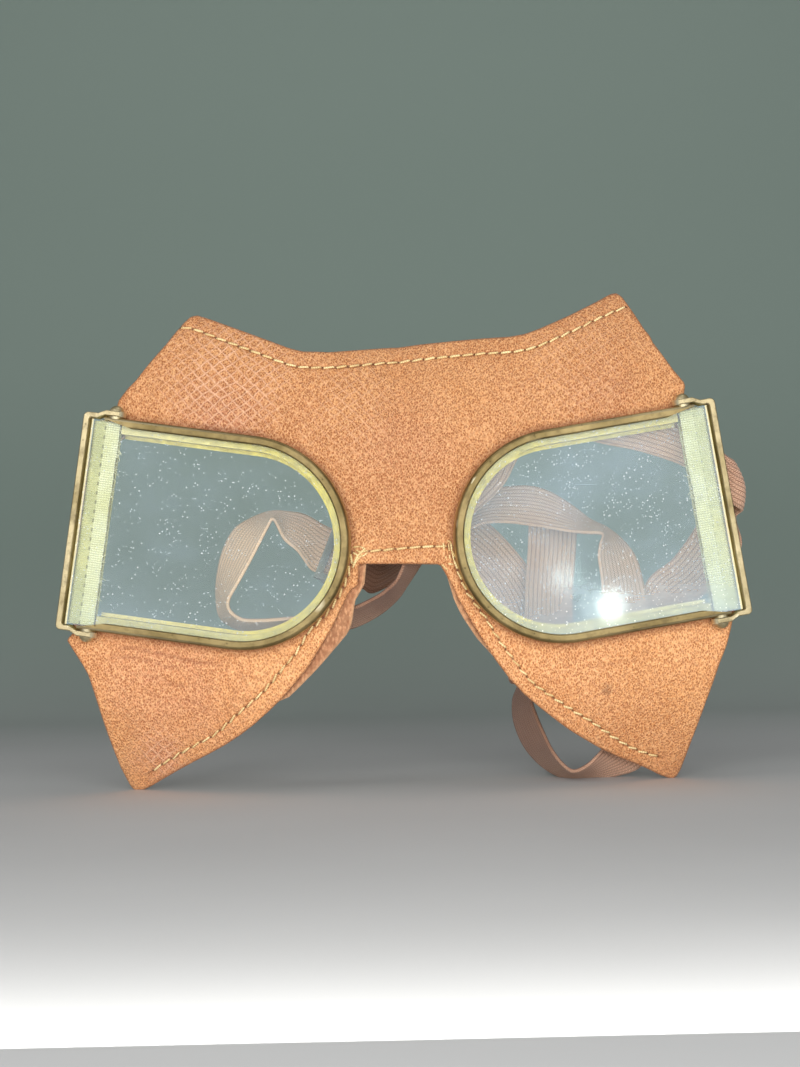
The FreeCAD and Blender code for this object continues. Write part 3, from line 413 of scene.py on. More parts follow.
class Shape:
    """points, faces and per-point values of a mesh made of lofted rings"""

    def __init__(self):
        self.points, self.faces, self.tones, self.weave = [], [], [], []

    def loft(self, ring, count, mirrored=False):
        """joins the last `count` rings of points and closes both ends"""
        start = len(self.points) - ring * count
        for row in range(start, start + ring * (count - 1), ring):
            for k in range(ring):
                a, b = row + k, row + (k + 1) % ring
                quad = (a, b, b + ring, a + ring)
                self.faces.append((a, *quad[:0:-1]) if mirrored else quad)
        first = tuple(range(start, start + ring))
        last = tuple(range(len(self.points) - ring, len(self.points)))
        self.faces += [first, last[::-1]] if mirrored else [first[::-1], last]

    def tube(self, line, radius, tone=0.0, sides=8):
        """round tube with rounded ends, slightly flattened towards the front"""
        line = np.array(line, float)
        tangent = unit(np.gradient(line, axis=0))
        run = run_length(line)
        for i, centre in enumerate(line):
            across = np.cross(tangent[i], np.array([0.0, -1.0, 0.0]))
            across /= max(np.linalg.norm(across), 1e-6)
            lift = np.cross(across, tangent[i])
            end = min(run[i], run[-1] - run[i]) / (radius * 1.2)
            r = radius * math.sqrt(max(1 - (1 - min(end, 1.0)) ** 2, 0.02))
            for k in range(sides):
                a = math.tau * k / sides
                self.points.append(centre + across * math.cos(a) * r + lift * math.sin(a) * r * 0.85)
                self.tones.append(tone)
                self.weave.append((k / sides, run[i]))
        self.loft(sides, len(line))

    def stitch(self, start, end, radius, tone, lift=0.16):
        """thread that rises out of the leather and dives back in"""
        dive = 0.34
        start, end = np.array(start, float), np.array(end, float)
        line = []
        for t in np.linspace(0, 1, 9):
            x, z = start + (end - start) * t
            height = lift + (dive + lift) * (math.sin(math.pi * t) ** 0.55 - 1)
            line.append((x, float(surface_y(x, z)) - height, z))
        self.tube(line, radius, tone)


# ---------------------------------------------------------------- leather and lining sheets
RIM_ROWS = (0.32, 0.8)                                    # rows of points beside every edge
SEAM_ROWS = (0.0, 0.3, -0.3, 0.62, -0.62, 1.0, -1.0)      # rows of points along every seam


def thin_out(points, cell=0.3, spacing=0.24):
    """drops points that crowd an earlier one"""
    keep, cells = [], {}
    for i, p in enumerate(points):
        cx, cz = int(p[0] // cell), int(p[1] // cell)
        if all(np.hypot(*(points[j] - p)) > spacing for a in (-1, 0, 1) for b in (-1, 0, 1)
               for j in cells.get((cx + a, cz + b), ())):
            cells.setdefault((cx, cz), []).append(i)
            keep.append(i)
    return points[keep]


def plate_mesh(outline, holes, step, seed, features):
    """triangles over an outline with holes; returns points, triangles, distance to the border"""
    rng = np.random.default_rng(seed)
    border = [resample(outline, step, closed=True, smooth=False)] + holes
    points, edges = [], []
    for loop in border:
        first = len(points)
        points += [tuple(p) for p in loop]
        edges += [(first + i, first + (i + 1) % len(loop)) for i in range(len(loop))]

    def border_distance(q):
        return np.min([nearest_on(loop, q, closed=True)[0] for loop in border], axis=0)

    def within(q):
        ok = inside(border[0], q)
        for hole in border[1:]:
            ok &= ~inside(hole, q)
        return ok

    # rows beside every edge keep the rounded rim clean
    extra = []
    for loop in border:
        normal = side_normals(np.roll(loop, -1, 0) - np.roll(loop, 1, 0))
        for row in RIM_ROWS:
            for sign in (1, -1):
                q = loop + normal * row * sign
                off = np.abs(border_distance(q) - row)
                extra.append(q[within(q) & (off < 0.06 * max(row, 0.5))])
    seam_points = []
    for path in features:
        line = resample(path, 0.42, smooth=False)
        normal = side_normals(np.gradient(line, axis=0))
        for row in SEAM_ROWS:
            q = line + normal * row
            seam_points.append(q[within(q) & (border_distance(q) > RIM_ROWS[-1] + 0.3)])
    if seam_points:
        extra.append(thin_out(np.vstack(seam_points)))
    # jittered triangular grid over the rest
    low, high = border[0].min(0), border[0].max(0)
    grid_x, grid_z = np.meshgrid(np.arange(low[0], high[0], step),
                                 np.arange(low[1], high[1], step * 0.866))
    grid_x[1::2] += step / 2
    jitter = rng.uniform(-0.12, 0.12, (grid_x.size, 2)) * step
    q = np.stack([grid_x.ravel(), grid_z.ravel()], 1) + jitter
    q = q[within(q)]
    q = q[border_distance(q) > RIM_ROWS[-1] + 0.45 * step]
    if seam_points:
        seam_distance = np.min([nearest_on(path, q)[0] for path in features], axis=0)
        q = q[seam_distance > SEAM_ROWS[-2] + 0.4 * step]
    extra.append(q)
    points += [tuple(p) for group in extra for p in group]
    result = geometry.delaunay_2d_cdt([Vector(p) for p in points], edges, [], 0, 1e-5)
    flat = np.array([tuple(v) for v in result[0]])
    triangles = np.array([f for f in result[2] if len(f) == 3])
    triangles = triangles[within(flat[triangles].mean(1))]
    used = np.unique(triangles)
    remap = -np.ones(len(flat), int)
    remap[used] = np.arange(len(used))
    flat = flat[used]
    return flat, remap[triangles], border_distance(flat)


def sheet(name, outline, holes, step, front, thickness, relief, material, replaces, seed,
          rim_radius, features=()):
    """plate on the mask surface, `front` behind the leather front, with a rounded rim"""
    flat, triangles, edge = plate_mesh(outline, holes, step, seed, features)
    x, z = flat[:, 0], flat[:, 1]
    ratio = np.clip(edge / rim_radius, 0, 1)
    rim = rim_radius * (1 - np.sqrt(np.maximum(1 - (1 - ratio) ** 2, 0)))
    raised, attributes = relief(flat, edge)
    y_front = surface_y(x, z) + front + rim * 0.8 - raised
    y_back = surface_y(x, z) + front + thickness - rim * 0.35
    count = len(flat)
    points = np.vstack([np.stack([x, y_front, z], 1), np.stack([x, y_back, z], 1)])
    # turn the front face towards -Y
    a, b, c = (points[triangles[:, k]] for k in range(3))
    normal_y = np.cross(b - a, c - a)[:, 1]
    triangles = np.where((normal_y > 0)[:, None], triangles[:, ::-1], triangles)
    faces = [tuple(t) for t in triangles] + [tuple(t[::-1] + count) for t in triangles]
    edges = {(int(t[i]), int(t[(i + 1) % 3])): None for t in triangles for i in range(3)}
    faces += [(j, i, i + count, j + count) for i, j in edges if (j, i) not in edges]
    attributes = {key: np.concatenate([v, v]) for key, v in attributes.items()}
    attributes["back"] = np.concatenate([np.zeros(count), np.ones(count)])
    make_object(name, points, faces, material, replaces, attributes=attributes)


def leather_relief(flat, edge):
    """raised height of the leather front, and the distances its material uses"""
    x, z = flat[:, 0], flat[:, 1]
    raised = np.zeros(len(flat))
    seam = np.full(len(flat), 1e9)
    hole = np.zeros(len(flat))
    rim = eye_distance(x, z)
    for name, (pitch, path) in SEAMS.items():
        off, along = nearest_on(path, flat)
        if name == "bridge":
            hem = smooth01((-3.2 - z) / 0.8) * smooth01((4.6 - off) / 1.0)
        else:
            hem = smooth01((4.3 - edge) / 0.8) * smooth01((5.6 - off) / 1.2)
        phase = np.mod(along - FIRST_STITCH, pitch)
        hole_off = np.hypot(np.minimum(phase, pitch - phase), off)
        hole = np.maximum(hole, np.exp(-(hole_off / 0.42) ** 2))
        # folded hem, groove of the seam, stitch holes, puckers between them
        raised += 0.20 * hem * (off > 0)
        raised -= 0.24 * np.exp(-(off / 0.50) ** 2)
        raised -= 0.22 * np.exp(-(hole_off / 0.55) ** 2)
        raised += (0.10 * np.cos(math.tau * (along - FIRST_STITCH - pitch / 2) / pitch)
                   * np.exp(-(off / 1.3) ** 2))
        seam = np.minimum(seam, off)
    crease = np.zeros(len(flat))
    for path, depth, width in CREASES:
        off, along = nearest_on(resample(path, 0.8), flat)
        length = along.max() if along.max() > 0 else 1
        fade = smooth01(along / length * 5) * smooth01((1 - along / length) * 5)
        groove = np.exp(-(off / width) ** 2) * fade
        raised -= depth * groove
        raised += depth * 0.45 * np.exp(-((off - 1.6 * width) / (width * 1.2)) ** 2) * fade
        crease = np.maximum(crease, groove * depth / 0.34)
    places = np.stack([x, np.zeros_like(x), z], 1)
    raised += (0.22 * smooth_noise(places, 0.055, 3.1) + 0.10 * smooth_noise(places, 0.16, 7.7)
               + 0.035 * smooth_noise(places, 0.5, 1.3))
    # damp everything beside the metal so the sheet lies flat under it
    damp = smooth01((rim - 0.25) / 2.2)
    raised = np.where(raised > 0, raised * damp, raised * np.maximum(damp, 0.25))
    raised = raised * np.where(rim <= 0, 0.0, 1.0)
    return raised, {"seam": seam, "edge": edge, "rim": rim, "crease": crease, "hole": hole}


def lining_relief(flat, edge):
    x, z = flat[:, 0], flat[:, 1]
    places = np.stack([x, np.zeros_like(x), z], 1)
    return 0.02 * smooth_noise(places, 0.4, 5.0), {"edge": edge, "rim": eye_distance(x, z)}


# ---------------------------------------------------------------- shader building
def srgb(colour):
    """sRGB 0..255 to linear"""
    def linear(c):
        return (c / 255 / 12.92) if c / 255 <= 0.04045 else ((c / 255 + 0.055) / 1.055) ** 2.4
    return (*map(linear, colour), 1.0)


class Shader:
    """One node material. Texture scales and bump depths are in metres; `place` is the position
    on the object, and `colour` the base colour as painted so far."""

    def __init__(self, name):
        self.material = bpy.data.materials.new(name)
        self.material.use_nodes = True
        self.tree = self.material.node_tree
        self.tree.nodes.clear()
        self.output = self.tree.nodes.new("ShaderNodeOutputMaterial")
        self.place = self.node("TexCoord").outputs["Object"]

    def node(self, kind, inputs=None, **settings):
        node = self.tree.nodes.new("ShaderNode" + kind)
        for key, value in settings.items():
            setattr(node, key, value)
        for key, value in (inputs or {}).items():
            if isinstance(value, bpy.types.NodeSocket):
                self.tree.links.new(value, node.inputs[key])
            else:
                node.inputs[key].default_value = value
        return node

    def math(self, operation, *values, clamp=False):
        node = self.node("Math", dict(enumerate(values)), operation=operation, use_clamp=clamp)
        return node.outputs[0]

    def times(self, value, share):
        return self.math("MULTIPLY", value, share)

    def add(self, onto, value, share, clamp=False):
        """onto + value * share"""
        return self.math("MULTIPLY_ADD", value, share, onto, clamp=clamp)

    def ripple(self, phase, operation="SINE"):
        """a wave between 0 and 1"""
        return self.add(0.5, self.math(operation, phase), share=0.5)

    def grade(self, value, span, to=(0.0, 1.0), **settings):
        """maps the span of values, clamped, to another range"""
        inputs = dict(enumerate((value, *span, *to)))
        return self.node("MapRange", inputs, clamp=True, **settings).outputs[0]

    def mix(self, factor, under, over, blend="MIX"):
        return self.node("Mix", {0: factor, 6: under, 7: over}, data_type="RGBA",
                         blend_type=blend, clamp_factor=True).outputs[2]

    def base(self, mask, low, high):
        self.colour = self.mix(mask, srgb(low), srgb(high))

    def paint(self, mask, colour, share=None):
        """lays an sRGB colour over the base colour, at the mask or a share of it"""
        if share is not None:
            mask = self.times(mask, share)
        self.colour = self.mix(mask, self.colour, srgb(colour))

    def at(self, vector):
        return self.place if vector is None else vector

    def noise(self, scale, detail=3.0, roughness=0.55, vector=None):
        return self.node("TexNoise", {"Vector": self.at(vector), "Scale": scale, "Detail": detail,
                                      "Roughness": roughness}).outputs[0]

    def cells(self, scale, vector=None, feature="F1", randomness=1.0):
        return self.node("TexVoronoi", {"Vector": self.at(vector), "Scale": scale,
                                        "Randomness": randomness}, feature=feature).outputs[0]

    def warp(self, turn=0.0, scale=(1, 1, 1)):
        """the place turned about Y by degrees and scaled, to draw a texture out"""
        return self.node("Mapping", {"Vector": self.place, "Rotation": (0, math.radians(turn), 0),
                                     "Scale": scale}).outputs[0]

    def axis(self, vector, index):
        return self.node("SeparateXYZ", {0: vector}).outputs[index]

    def weave(self):
        """mm across and along the weave"""
        uv = self.node("UVMap", uv_map="weave").outputs[0]
        return self.axis(uv, 0), self.axis(uv, 1)

    def attribute(self, name):
        return self.node("Attribute", attribute_name=name).outputs["Fac"]

    def along(self, direction):
        """distance along a direction, metres"""
        inputs = {0: self.place, 1: tuple(float(v) for v in direction)}
        return self.node("VectorMath", inputs, operation="DOT_PRODUCT").outputs["Value"]

    def in_eye(self, axis, side):
        """mm along one axis of the eye frame"""
        value = self.along((side * axis[0], axis[1], axis[2]))
        return self.add(-float(EYE_CENTRE @ axis), value, share=1 / MM)

    def near(self, x, z, radius):
        """1 around a place seen from the front, falling to 0 at the radius, mm"""
        flat = self.node("VectorMath", {0: self.place, 1: (1.0, 0.0, 1.0)}, operation="MULTIPLY")
        distance = self.node("VectorMath", {0: flat.outputs[0], 1: (x * MM, 0.0, z * MM)},
                             operation="DISTANCE").outputs["Value"]
        fall = self.grade(distance, span=(radius * MM, radius * MM * 0.25))
        return self.math("POWER", fall, 1.0)

    def patches(self, rows):
        """the strongest of several places, each (x, z, radius, strength)"""
        result = None
        for x, z, radius, strength in rows:
            patch = self.near(x, z, radius)
            if strength != 1:
                patch = self.times(patch, strength)
            result = patch if result is None else self.math("MAXIMUM", result, patch)
        return result

    def stripes(self, angle, pitch, wobble, sway):
        """lines rising at an angle in degrees; pitch and sway in mm"""
        angle = math.radians(angle)
        distance = self.along((-math.sin(angle), 0, math.cos(angle)))
        distance = self.add(distance, wobble, share=sway * MM)
        return self.ripple(self.times(distance, math.tau / (pitch * MM)))

    def bump(self, height, depth, strength):
        inputs = {"Height": height, "Distance": depth, "Strength": strength}
        return self.node("Bump", inputs).outputs[0]

    def mix_shader(self, factor, first, second):
        return self.node("MixShader", {0: factor, 1: first, 2: second}).outputs[0]

    def principled(self, **inputs):
        inputs = {key.replace("_", " "): value for key, value in inputs.items()}
        return self.node("BsdfPrincipled", {"Base Color": self.colour, **inputs}).outputs[0]

    def close(self, shader):
        self.tree.links.new(shader, self.output.inputs["Surface"])
        return self.material


# ---------------------------------------------------------------- materials
def leather_material():
    m = Shader("tan_leather")
    seam, edge, rim, crease, back, hole = map(
        m.attribute, ("seam", "edge", "rim", "crease", "back", "hole"))
    broad = m.noise(scale=26.0)
    mottle = m.noise(scale=95.0, detail=4.0, roughness=0.6)
    fine = m.noise(scale=620.0, detail=4.0, roughness=0.65)
    # fine pitted grain drawn out along one diagonal, with pale walls between the pits
    drawn = m.warp(turn=48, scale=(1.0, 1.0, 0.70))
    scatter = m.node("TexNoise", {"Vector": m.place, "Scale": 700.0}).outputs[1]
    jittered = m.node("VectorMath", {0: scatter, 1: (0.0006, 0.0006, 0.0006), 2: drawn},
                      operation="MULTIPLY_ADD").outputs[0]
    cell = m.cells(scale=2050.0, vector=jittered, randomness=0.9)
    wall = m.cells(scale=2050.0, vector=jittered, feature="DISTANCE_TO_EDGE", randomness=0.9)
    grain = m.noise(scale=1500.0, roughness=0.65)
    pits = m.cells(scale=900.0, vector=m.warp(turn=-20))
    # crossed scuff lines, strongest in a few handled zones
    wobble = m.noise(scale=150.0, roughness=0.6)
    lines = [m.times(m.grade(m.stripes(angle=angle, pitch=pitch, wobble=wobble, sway=sway),
                             span=(0.84, 0.98)),
                     m.grade(grain, span=(0.34, 0.50), to=(0.45, 1.0)))
             for angle, pitch, sway in ((36, 2.0, 2.6), (-47, 2.15, 2.2))]
    zone = m.patches([(-42, 39, 22, 1), (46, 40, 26, 0.30), (-14, 32, 20, 0.40),
                      (-62, -54, 10, 0.55)])
    least_hatch = 0.12
    zone = m.math("MAXIMUM", zone, least_hatch)
    zone = m.times(zone, m.grade(mottle, span=(0.34, 0.54), to=(0.45, 1.0)))
    hatch = m.times(m.math("MAXIMUM", *lines), zone)

    m.base(m.grade(broad, span=(0.36, 0.66)), low=(204, 132, 78), high=(222, 152, 92))
    m.paint(m.grade(mottle, span=(0.40, 0.72), to=(0.0, 0.5)), colour=(234, 170, 117))
    # pink brown bloom where the leather has been handled
    bloom = m.patches([(-44, 29, 15, 0.75), (1, 21, 17, 0.45), (-58, -36, 22, 0.60),
                       (-62, -55, 10, 0.80), (52, 32, 13, 0.25)])
    bloom = m.times(bloom, m.grade(mottle, span=(0.28, 0.62), to=(0.35, 1.0)))
    m.paint(bloom, colour=(196, 124, 98))
    # grain: dark valleys, pale tops
    valley = m.times(m.grade(cell, span=(0.68, 0.24)),
                     m.grade(grain, span=(0.72, 0.46), to=(0.45, 1.0)))
    top = m.times(m.grade(wall, span=(0.14, 0.02)),
                  m.grade(grain, span=(0.34, 0.58), to=(0.30, 1.0)))
    fibre = m.noise(scale=3300.0, detail=1.0, roughness=0.6, vector=drawn)
    m.paint(m.grade(fibre, span=(0.49, 0.36), to=(0.0, 0.50)), colour=(158, 92, 50))
    m.paint(m.grade(fibre, span=(0.51, 0.64), to=(0.0, 0.50)), colour=(246, 192, 136))
    m.paint(valley, colour=(142, 78, 40), share=0.66)
    m.paint(top, colour=(252, 206, 152), share=0.42)
    m.paint(m.times(m.grade(pits, span=(0.10, 0.0)),
                    m.grade(mottle, span=(0.4, 0.6), to=(0.0, 0.55))), colour=(112, 58, 34))
    m.paint(hatch, colour=(250, 196, 160), share=0.80)
    # wear and dirt, with painted shade beside the rims, in the creases, along the seam grooves and
    # in the stitch holes
    # painted shade with dirt: darker leather beside the rims, where the frames stand proud
    m.paint(m.times(m.grade(rim, span=(2.2, 0.1)),
                    m.grade(mottle, span=(0.2, 0.7), to=(0.30, 0.75))), colour=(132, 80, 56))
    # painted shade: darker leather in the pressed creases
    m.paint(m.grade(crease, span=(0.15, 0.9), to=(0.0, 0.50)), colour=(132, 74, 50))
    # painted shade: darker leather along the seam grooves
    m.paint(m.grade(seam, span=(0.70, 0.15)), colour=(132, 80, 44), share=0.40)
    m.paint(m.grade(edge, span=(0.60, 0.05)), colour=(158, 96, 62), share=0.50)
    # painted shade: near-black stitch holes
    m.paint(m.grade(hole, span=(0.35, 0.85), to=(0.0, 0.85)), colour=(66, 38, 22))
    stain = m.times(m.near(x=49.5, z=-39.3, radius=1.9), m.grade(fine, span=(0.35, 0.6)))
    m.paint(stain, colour=(84, 56, 44), share=0.7)
    # painted shade: the brow is darkened a little more than the lower flaps, against the stronger
    # light it gets
    brow = m.grade(m.axis(m.place, 2), span=(-0.024, 0.004))
    m.colour = m.mix(brow, m.colour, over=(0.82, 0.81, 0.79, 1), blend="MULTIPLY")
    flesh_nap = m.noise(scale=900.0, detail=4.0, roughness=0.7)
    flesh = m.mix(m.grade(flesh_nap, span=(0.35, 0.68)),
                  under=srgb((150, 104, 74)), over=srgb((198, 150, 112)))
    m.colour = m.mix(back, m.colour, flesh)
    rough = m.grade(mottle, span=(0.3, 0.75), to=(0.48, 0.64))
    rough = m.add(rough, valley, share=0.15)
    rough = m.add(rough, back, share=0.25, clamp=True)
    height = m.add(m.times(grain, share=0.55), m.grade(cell, span=(0.1, 0.55)), share=0.55)
    height = m.add(height, hatch, share=0.55)
    height = m.add(height, m.grade(pits, span=(0.12, 0.0)), share=-0.35)
    return m.close(m.principled(Roughness=rough, Specular_IOR_Level=0.40, Sheen_Weight=0.06,
                                Normal=m.bump(height, depth=0.00026, strength=0.9)))


def lining_material():
    m = Shader("lining_leather")
    fine = m.noise(scale=1100.0, detail=5.0, roughness=0.7)
    broad = m.noise(scale=60.0)
    nap = m.cells(scale=1700.0, vector=m.warp(scale=(1, 1, 0.4)), feature="SMOOTH_F1")
    m.base(m.grade(fine, span=(0.35, 0.7)), low=(176, 122, 84), high=(226, 176, 132))
    m.paint(m.grade(broad, span=(0.4, 0.7), to=(0, 0.5)), colour=(160, 100, 72))
    m.paint(m.grade(nap, span=(0.3, 0.5), to=(0, 0.5)), colour=(120, 74, 48))
    m.paint(m.grade(m.attribute("edge"), span=(0.9, 0.1)), colour=(232, 186, 140), share=0.35)
    height = m.add(fine, nap, share=-0.8)
    return m.close(m.principled(Roughness=0.92, Sheen_Weight=0.25,
                                Normal=m.bump(height, depth=0.00022, strength=0.8)))


def brass_material(name, side, wear_and_highlight, low=(118, 102, 64), high=(170, 150, 104)):
    m = Shader(name)
    depth = m.in_eye(EYE_W, side)
    cloud = m.noise(scale=75.0, detail=4.0, roughness=0.6)
    mottle = m.noise(scale=420.0, detail=4.0, roughness=0.65)
    brushed = m.noise(scale=1800.0, roughness=0.6, vector=m.warp(scale=(1, 1, 0.35)))
    spots = m.cells(scale=520.0)
    point = m.node("NewGeometry").outputs["Pointiness"]
    m.base(m.grade(cloud, span=(0.36, 0.66)), low=low, high=high)
    m.paint(m.grade(mottle, span=(0.50, 0.72), to=(0.0, 0.50)), colour=(92, 74, 42))
    m.paint(m.grade(spots, span=(0.16, 0.02)), colour=(62, 54, 36), share=0.50)
    # bright yellow towards the back, and painted shade as a dull line at one depth
    m.paint(m.times(m.grade(depth, span=(-2.2, -3.2)),
                    m.grade(mottle, span=(0.3, 0.7), to=(0.95, 0.55))), colour=(244, 222, 104))
    # painted shade: dull line in the channel wall
    shade_line_depth = 3.95
    line = m.math("ABSOLUTE", m.math("ADD", depth, shade_line_depth))
    m.paint(m.grade(line, span=(0.55, 0.25)), colour=(120, 100, 44), share=0.65)
    # corners paler with wear and painted highlight, hollows darker with tarnish and painted shade
    m.paint(m.grade(point, span=(0.53, 0.62), to=(0.0, 0.35 + 0.5 * wear_and_highlight)), colour=(242, 232, 196))
    # painted shade with tarnish: dark hollows
    m.paint(m.grade(point, span=(0.47, 0.41), to=(0.0, 0.7)), colour=(62, 50, 30))
    rough = m.add(m.grade(cloud, span=(0.3, 0.7), to=(0.22, 0.34)), mottle, share=0.30)
    rough = m.add(rough, m.grade(spots, span=(0.16, 0.02)), share=0.25, clamp=True)
    height = m.add(m.times(brushed, share=0.5), mottle, share=0.6)
    height = m.add(height, m.grade(spots, span=(0.14, 0.02)), share=-0.5)
    return m.close(m.principled(Roughness=rough,
                                Metallic=m.grade(mottle, span=(0.45, 0.8), to=(0.92, 0.62)),
                                Normal=m.bump(height, depth=0.00007, strength=0.7)))


def steel_material():
    m = Shader("slider_steel")
    mottle = m.noise(scale=300.0, detail=4.0, roughness=0.6)
    fine = m.noise(scale=1500.0, roughness=0.6)
    point = m.node("NewGeometry").outputs["Pointiness"]
    m.base(m.grade(mottle, span=(0.35, 0.7)), low=(126, 124, 120), high=(168, 166, 160))
    m.paint(m.grade(mottle, span=(0.60, 0.74), to=(0, 0.7)), colour=(112, 84, 60))
    m.paint(m.grade(point, span=(0.52, 0.62), to=(0, 0.6)), colour=(206, 204, 198))
    height = m.add(fine, mottle, share=0.5)
    return m.close(m.principled(Roughness=m.grade(fine, span=(0.3, 0.7), to=(0.34, 0.55)),
                                Metallic=0.88,
                                Normal=m.bump(height, depth=0.00006, strength=0.6)))


def glass_material(name, side):
    """thin pane: clear, milky where dusty or scratched, with a gloss on its front faces"""
    m = Shader(name)
    # least haze, and how strongly dirt shows on this side
    least_haze, gain = (0.135, 1.0) if side > 0 else (0.050, 0.45)
    u = m.in_eye(EYE_U, side)
    v = m.in_eye(EYE_V, side)
    cloud = m.noise(scale=42.0, detail=4.0, roughness=0.6)
    film = m.noise(scale=150.0, detail=5.0, roughness=0.7)
    # dust: bright specks in two sizes
    large_specks = m.times(m.grade(m.cells(scale=880.0), span=(0.19, 0.09)),
                           m.grade(m.noise(scale=190.0, detail=1.0), span=(0.40, 0.54)))
    turned = m.warp(turn=math.degrees(0.4))
    small_specks = m.times(m.grade(m.cells(scale=1250.0, vector=turned), span=(0.24, 0.09)),
                           m.grade(m.noise(scale=260.0, detail=1.0), span=(0.46, 0.58)))
    # wiped smears and two sets of scratches, each long along one direction
    wiped = m.warp(turn=28 * side, scale=(60.0, 1.0, 620.0))
    smear = m.grade(m.noise(scale=1.0, detail=4.0, roughness=0.6, vector=wiped), span=(0.50, 0.78))
    one_way = m.noise(scale=1.0, detail=1.0, roughness=0.5,
                      vector=m.warp(turn=-33, scale=(45.0, 1.0, 3600.0)))
    scratch = m.times(m.grade(one_way, span=(0.735, 0.79)), m.grade(film, span=(0.40, 0.62)))
    other_way = m.noise(scale=1.0, detail=1.0, roughness=0.5,
                        vector=m.warp(turn=58, scale=(60.0, 1.0, 3900.0)))
    cross_scratch = m.times(m.grade(other_way, span=(0.75, 0.80)),
                            m.grade(cloud, span=(0.42, 0.62)))
    low = m.grade(v, span=(2.0, -25.0))
    haze = m.add(least_haze, m.times(low, low), share=0.20 * gain + 0.02)
    haze = m.add(haze, m.grade(cloud, span=(0.40, 0.75)), share=0.09 * gain)
    haze = m.add(haze, m.grade(film, span=(0.50, 0.80)), share=0.08)
    haze = m.add(haze, smear, share=0.07 * gain)
    haze = m.add(haze, large_specks, share=0.50)
    haze = m.add(haze, small_specks, share=0.42)
    haze = m.add(haze, scratch, share=0.24 * gain)
    haze = m.add(haze, cross_scratch, share=0.22 * gain, clamp=True)
    # the ground edge of the pane at the outboard end catches the light
    border = m.grade(u, span=(GLASS_EDGE - 0.62, GLASS_EDGE - 0.40))
    haze = m.add(haze, border, share=0.75, clamp=True)
    back = m.node("NewGeometry").outputs["Backfacing"]
    front = m.math("SUBTRACT", 1.0, back)
    haze = m.times(haze, front)
    tint = m.mix(back, under=(0.89, 0.92, 0.89, 1), over=(1, 1, 1, 1))
    clear = m.node("BsdfTransparent", {"Color": tint}).outputs[0]
    milk = m.mix(m.grade(cloud, span=(0.35, 0.7)),
                 under=(0.54, 0.68, 0.74, 1), over=(0.68, 0.82, 0.94, 1))
    milk = m.mix(m.times(low, share=0.6 * gain), milk, over=(0.68, 0.82, 0.92, 1))
    milk = m.mix(border, milk, over=srgb((236, 226, 186)))
    specks = m.math("MAXIMUM", large_specks, small_specks)
    milk = m.mix(specks, milk, over=(0.93, 0.95, 0.95, 1))
    diffuse = m.node("BsdfDiffuse", {"Color": milk, "Roughness": 1.0}).outputs[0]
    translucent = m.node("BsdfTranslucent", {"Color": milk}).outputs[0]
    milky = m.mix_shader(factor=0.18, first=diffuse, second=translucent)
    body = m.mix_shader(haze, clear, milky)
    gloss = m.node("BsdfGlossy", {
        "Color": (0.84, 1.0, 0.96, 1),
        "Roughness": m.grade(film, span=(0.4, 0.8), to=(0.055, 0.16)),
        "Normal": m.bump(m.noise(scale=55.0, detail=2.0), depth=0.00004, strength=0.35)})
    fresnel = m.node("Fresnel", {"IOR": 1.50}).outputs[0]
    m.material.use_transparent_shadow = True
    return m.close(m.mix_shader(m.times(fresnel, front), body, gloss.outputs[0]))


def cotton_material(name, outer_shade_and_dots):
    m = Shader(name)
    x, y = m.weave()
    weft_pitch, dot_line, dot_pitch = 0.62, 3.6, 2.3      # mm, dots in a row along the tape
    wobble = m.noise(scale=260.0, detail=2.0)
    rib = m.ripple(m.add(m.times(y, math.tau / COTTON_RIB), wobble, share=1.4))
    weft = m.ripple(m.times(x, math.tau / weft_pitch))
    cloud = m.noise(scale=160.0, detail=4.0, roughness=0.6)
    fine = m.noise(scale=1300.0, detail=4.0, roughness=0.7)
    outer = m.grade(x, span=(3.2, 3.7))
    dots = m.times(m.grade(m.math("ABSOLUTE", m.math("ADD", x, -dot_line)), span=(0.32, 0.12)),
                   m.grade(m.math("SINE", m.times(y, math.tau / dot_pitch)), span=(0.1, 0.5)))
    m.base(m.grade(cloud, span=(0.35, 0.7)), low=(236, 230, 176), high=(254, 250, 216))
    m.paint(m.grade(rib, span=(0.45, 0.05)), colour=(168, 160, 96), share=0.60)
    m.paint(m.grade(weft, span=(0.30, 0.0)), colour=(176, 168, 104), share=0.35)
    m.paint(m.grade(fine, span=(0.55, 0.8), to=(0.0, 0.45)), colour=(186, 178, 112))
    # painted shade: the outer part of the front face darker towards the fold, stronger on the right
    # tape
    m.paint(outer, colour=(184, 178, 112), share=outer_shade_and_dots)
    m.paint(m.times(outer, m.grade(cloud, span=(0.50, 0.66), to=(0.0, 0.6))),
            colour=(232, 222, 150))
    m.paint(dots, colour=(108, 98, 58), share=outer_shade_and_dots)
    m.paint(m.grade(cloud, span=(0.62, 0.78), to=(0.0, 0.4)), colour=(170, 160, 100))
    height = m.add(m.times(weft, share=0.4), rib, share=0.9)
    height = m.add(height, fine, share=0.35)
    return m.close(m.principled(Roughness=0.9, Sheen_Weight=0.2,
                                Normal=m.bump(height, depth=0.00012, strength=0.9)))


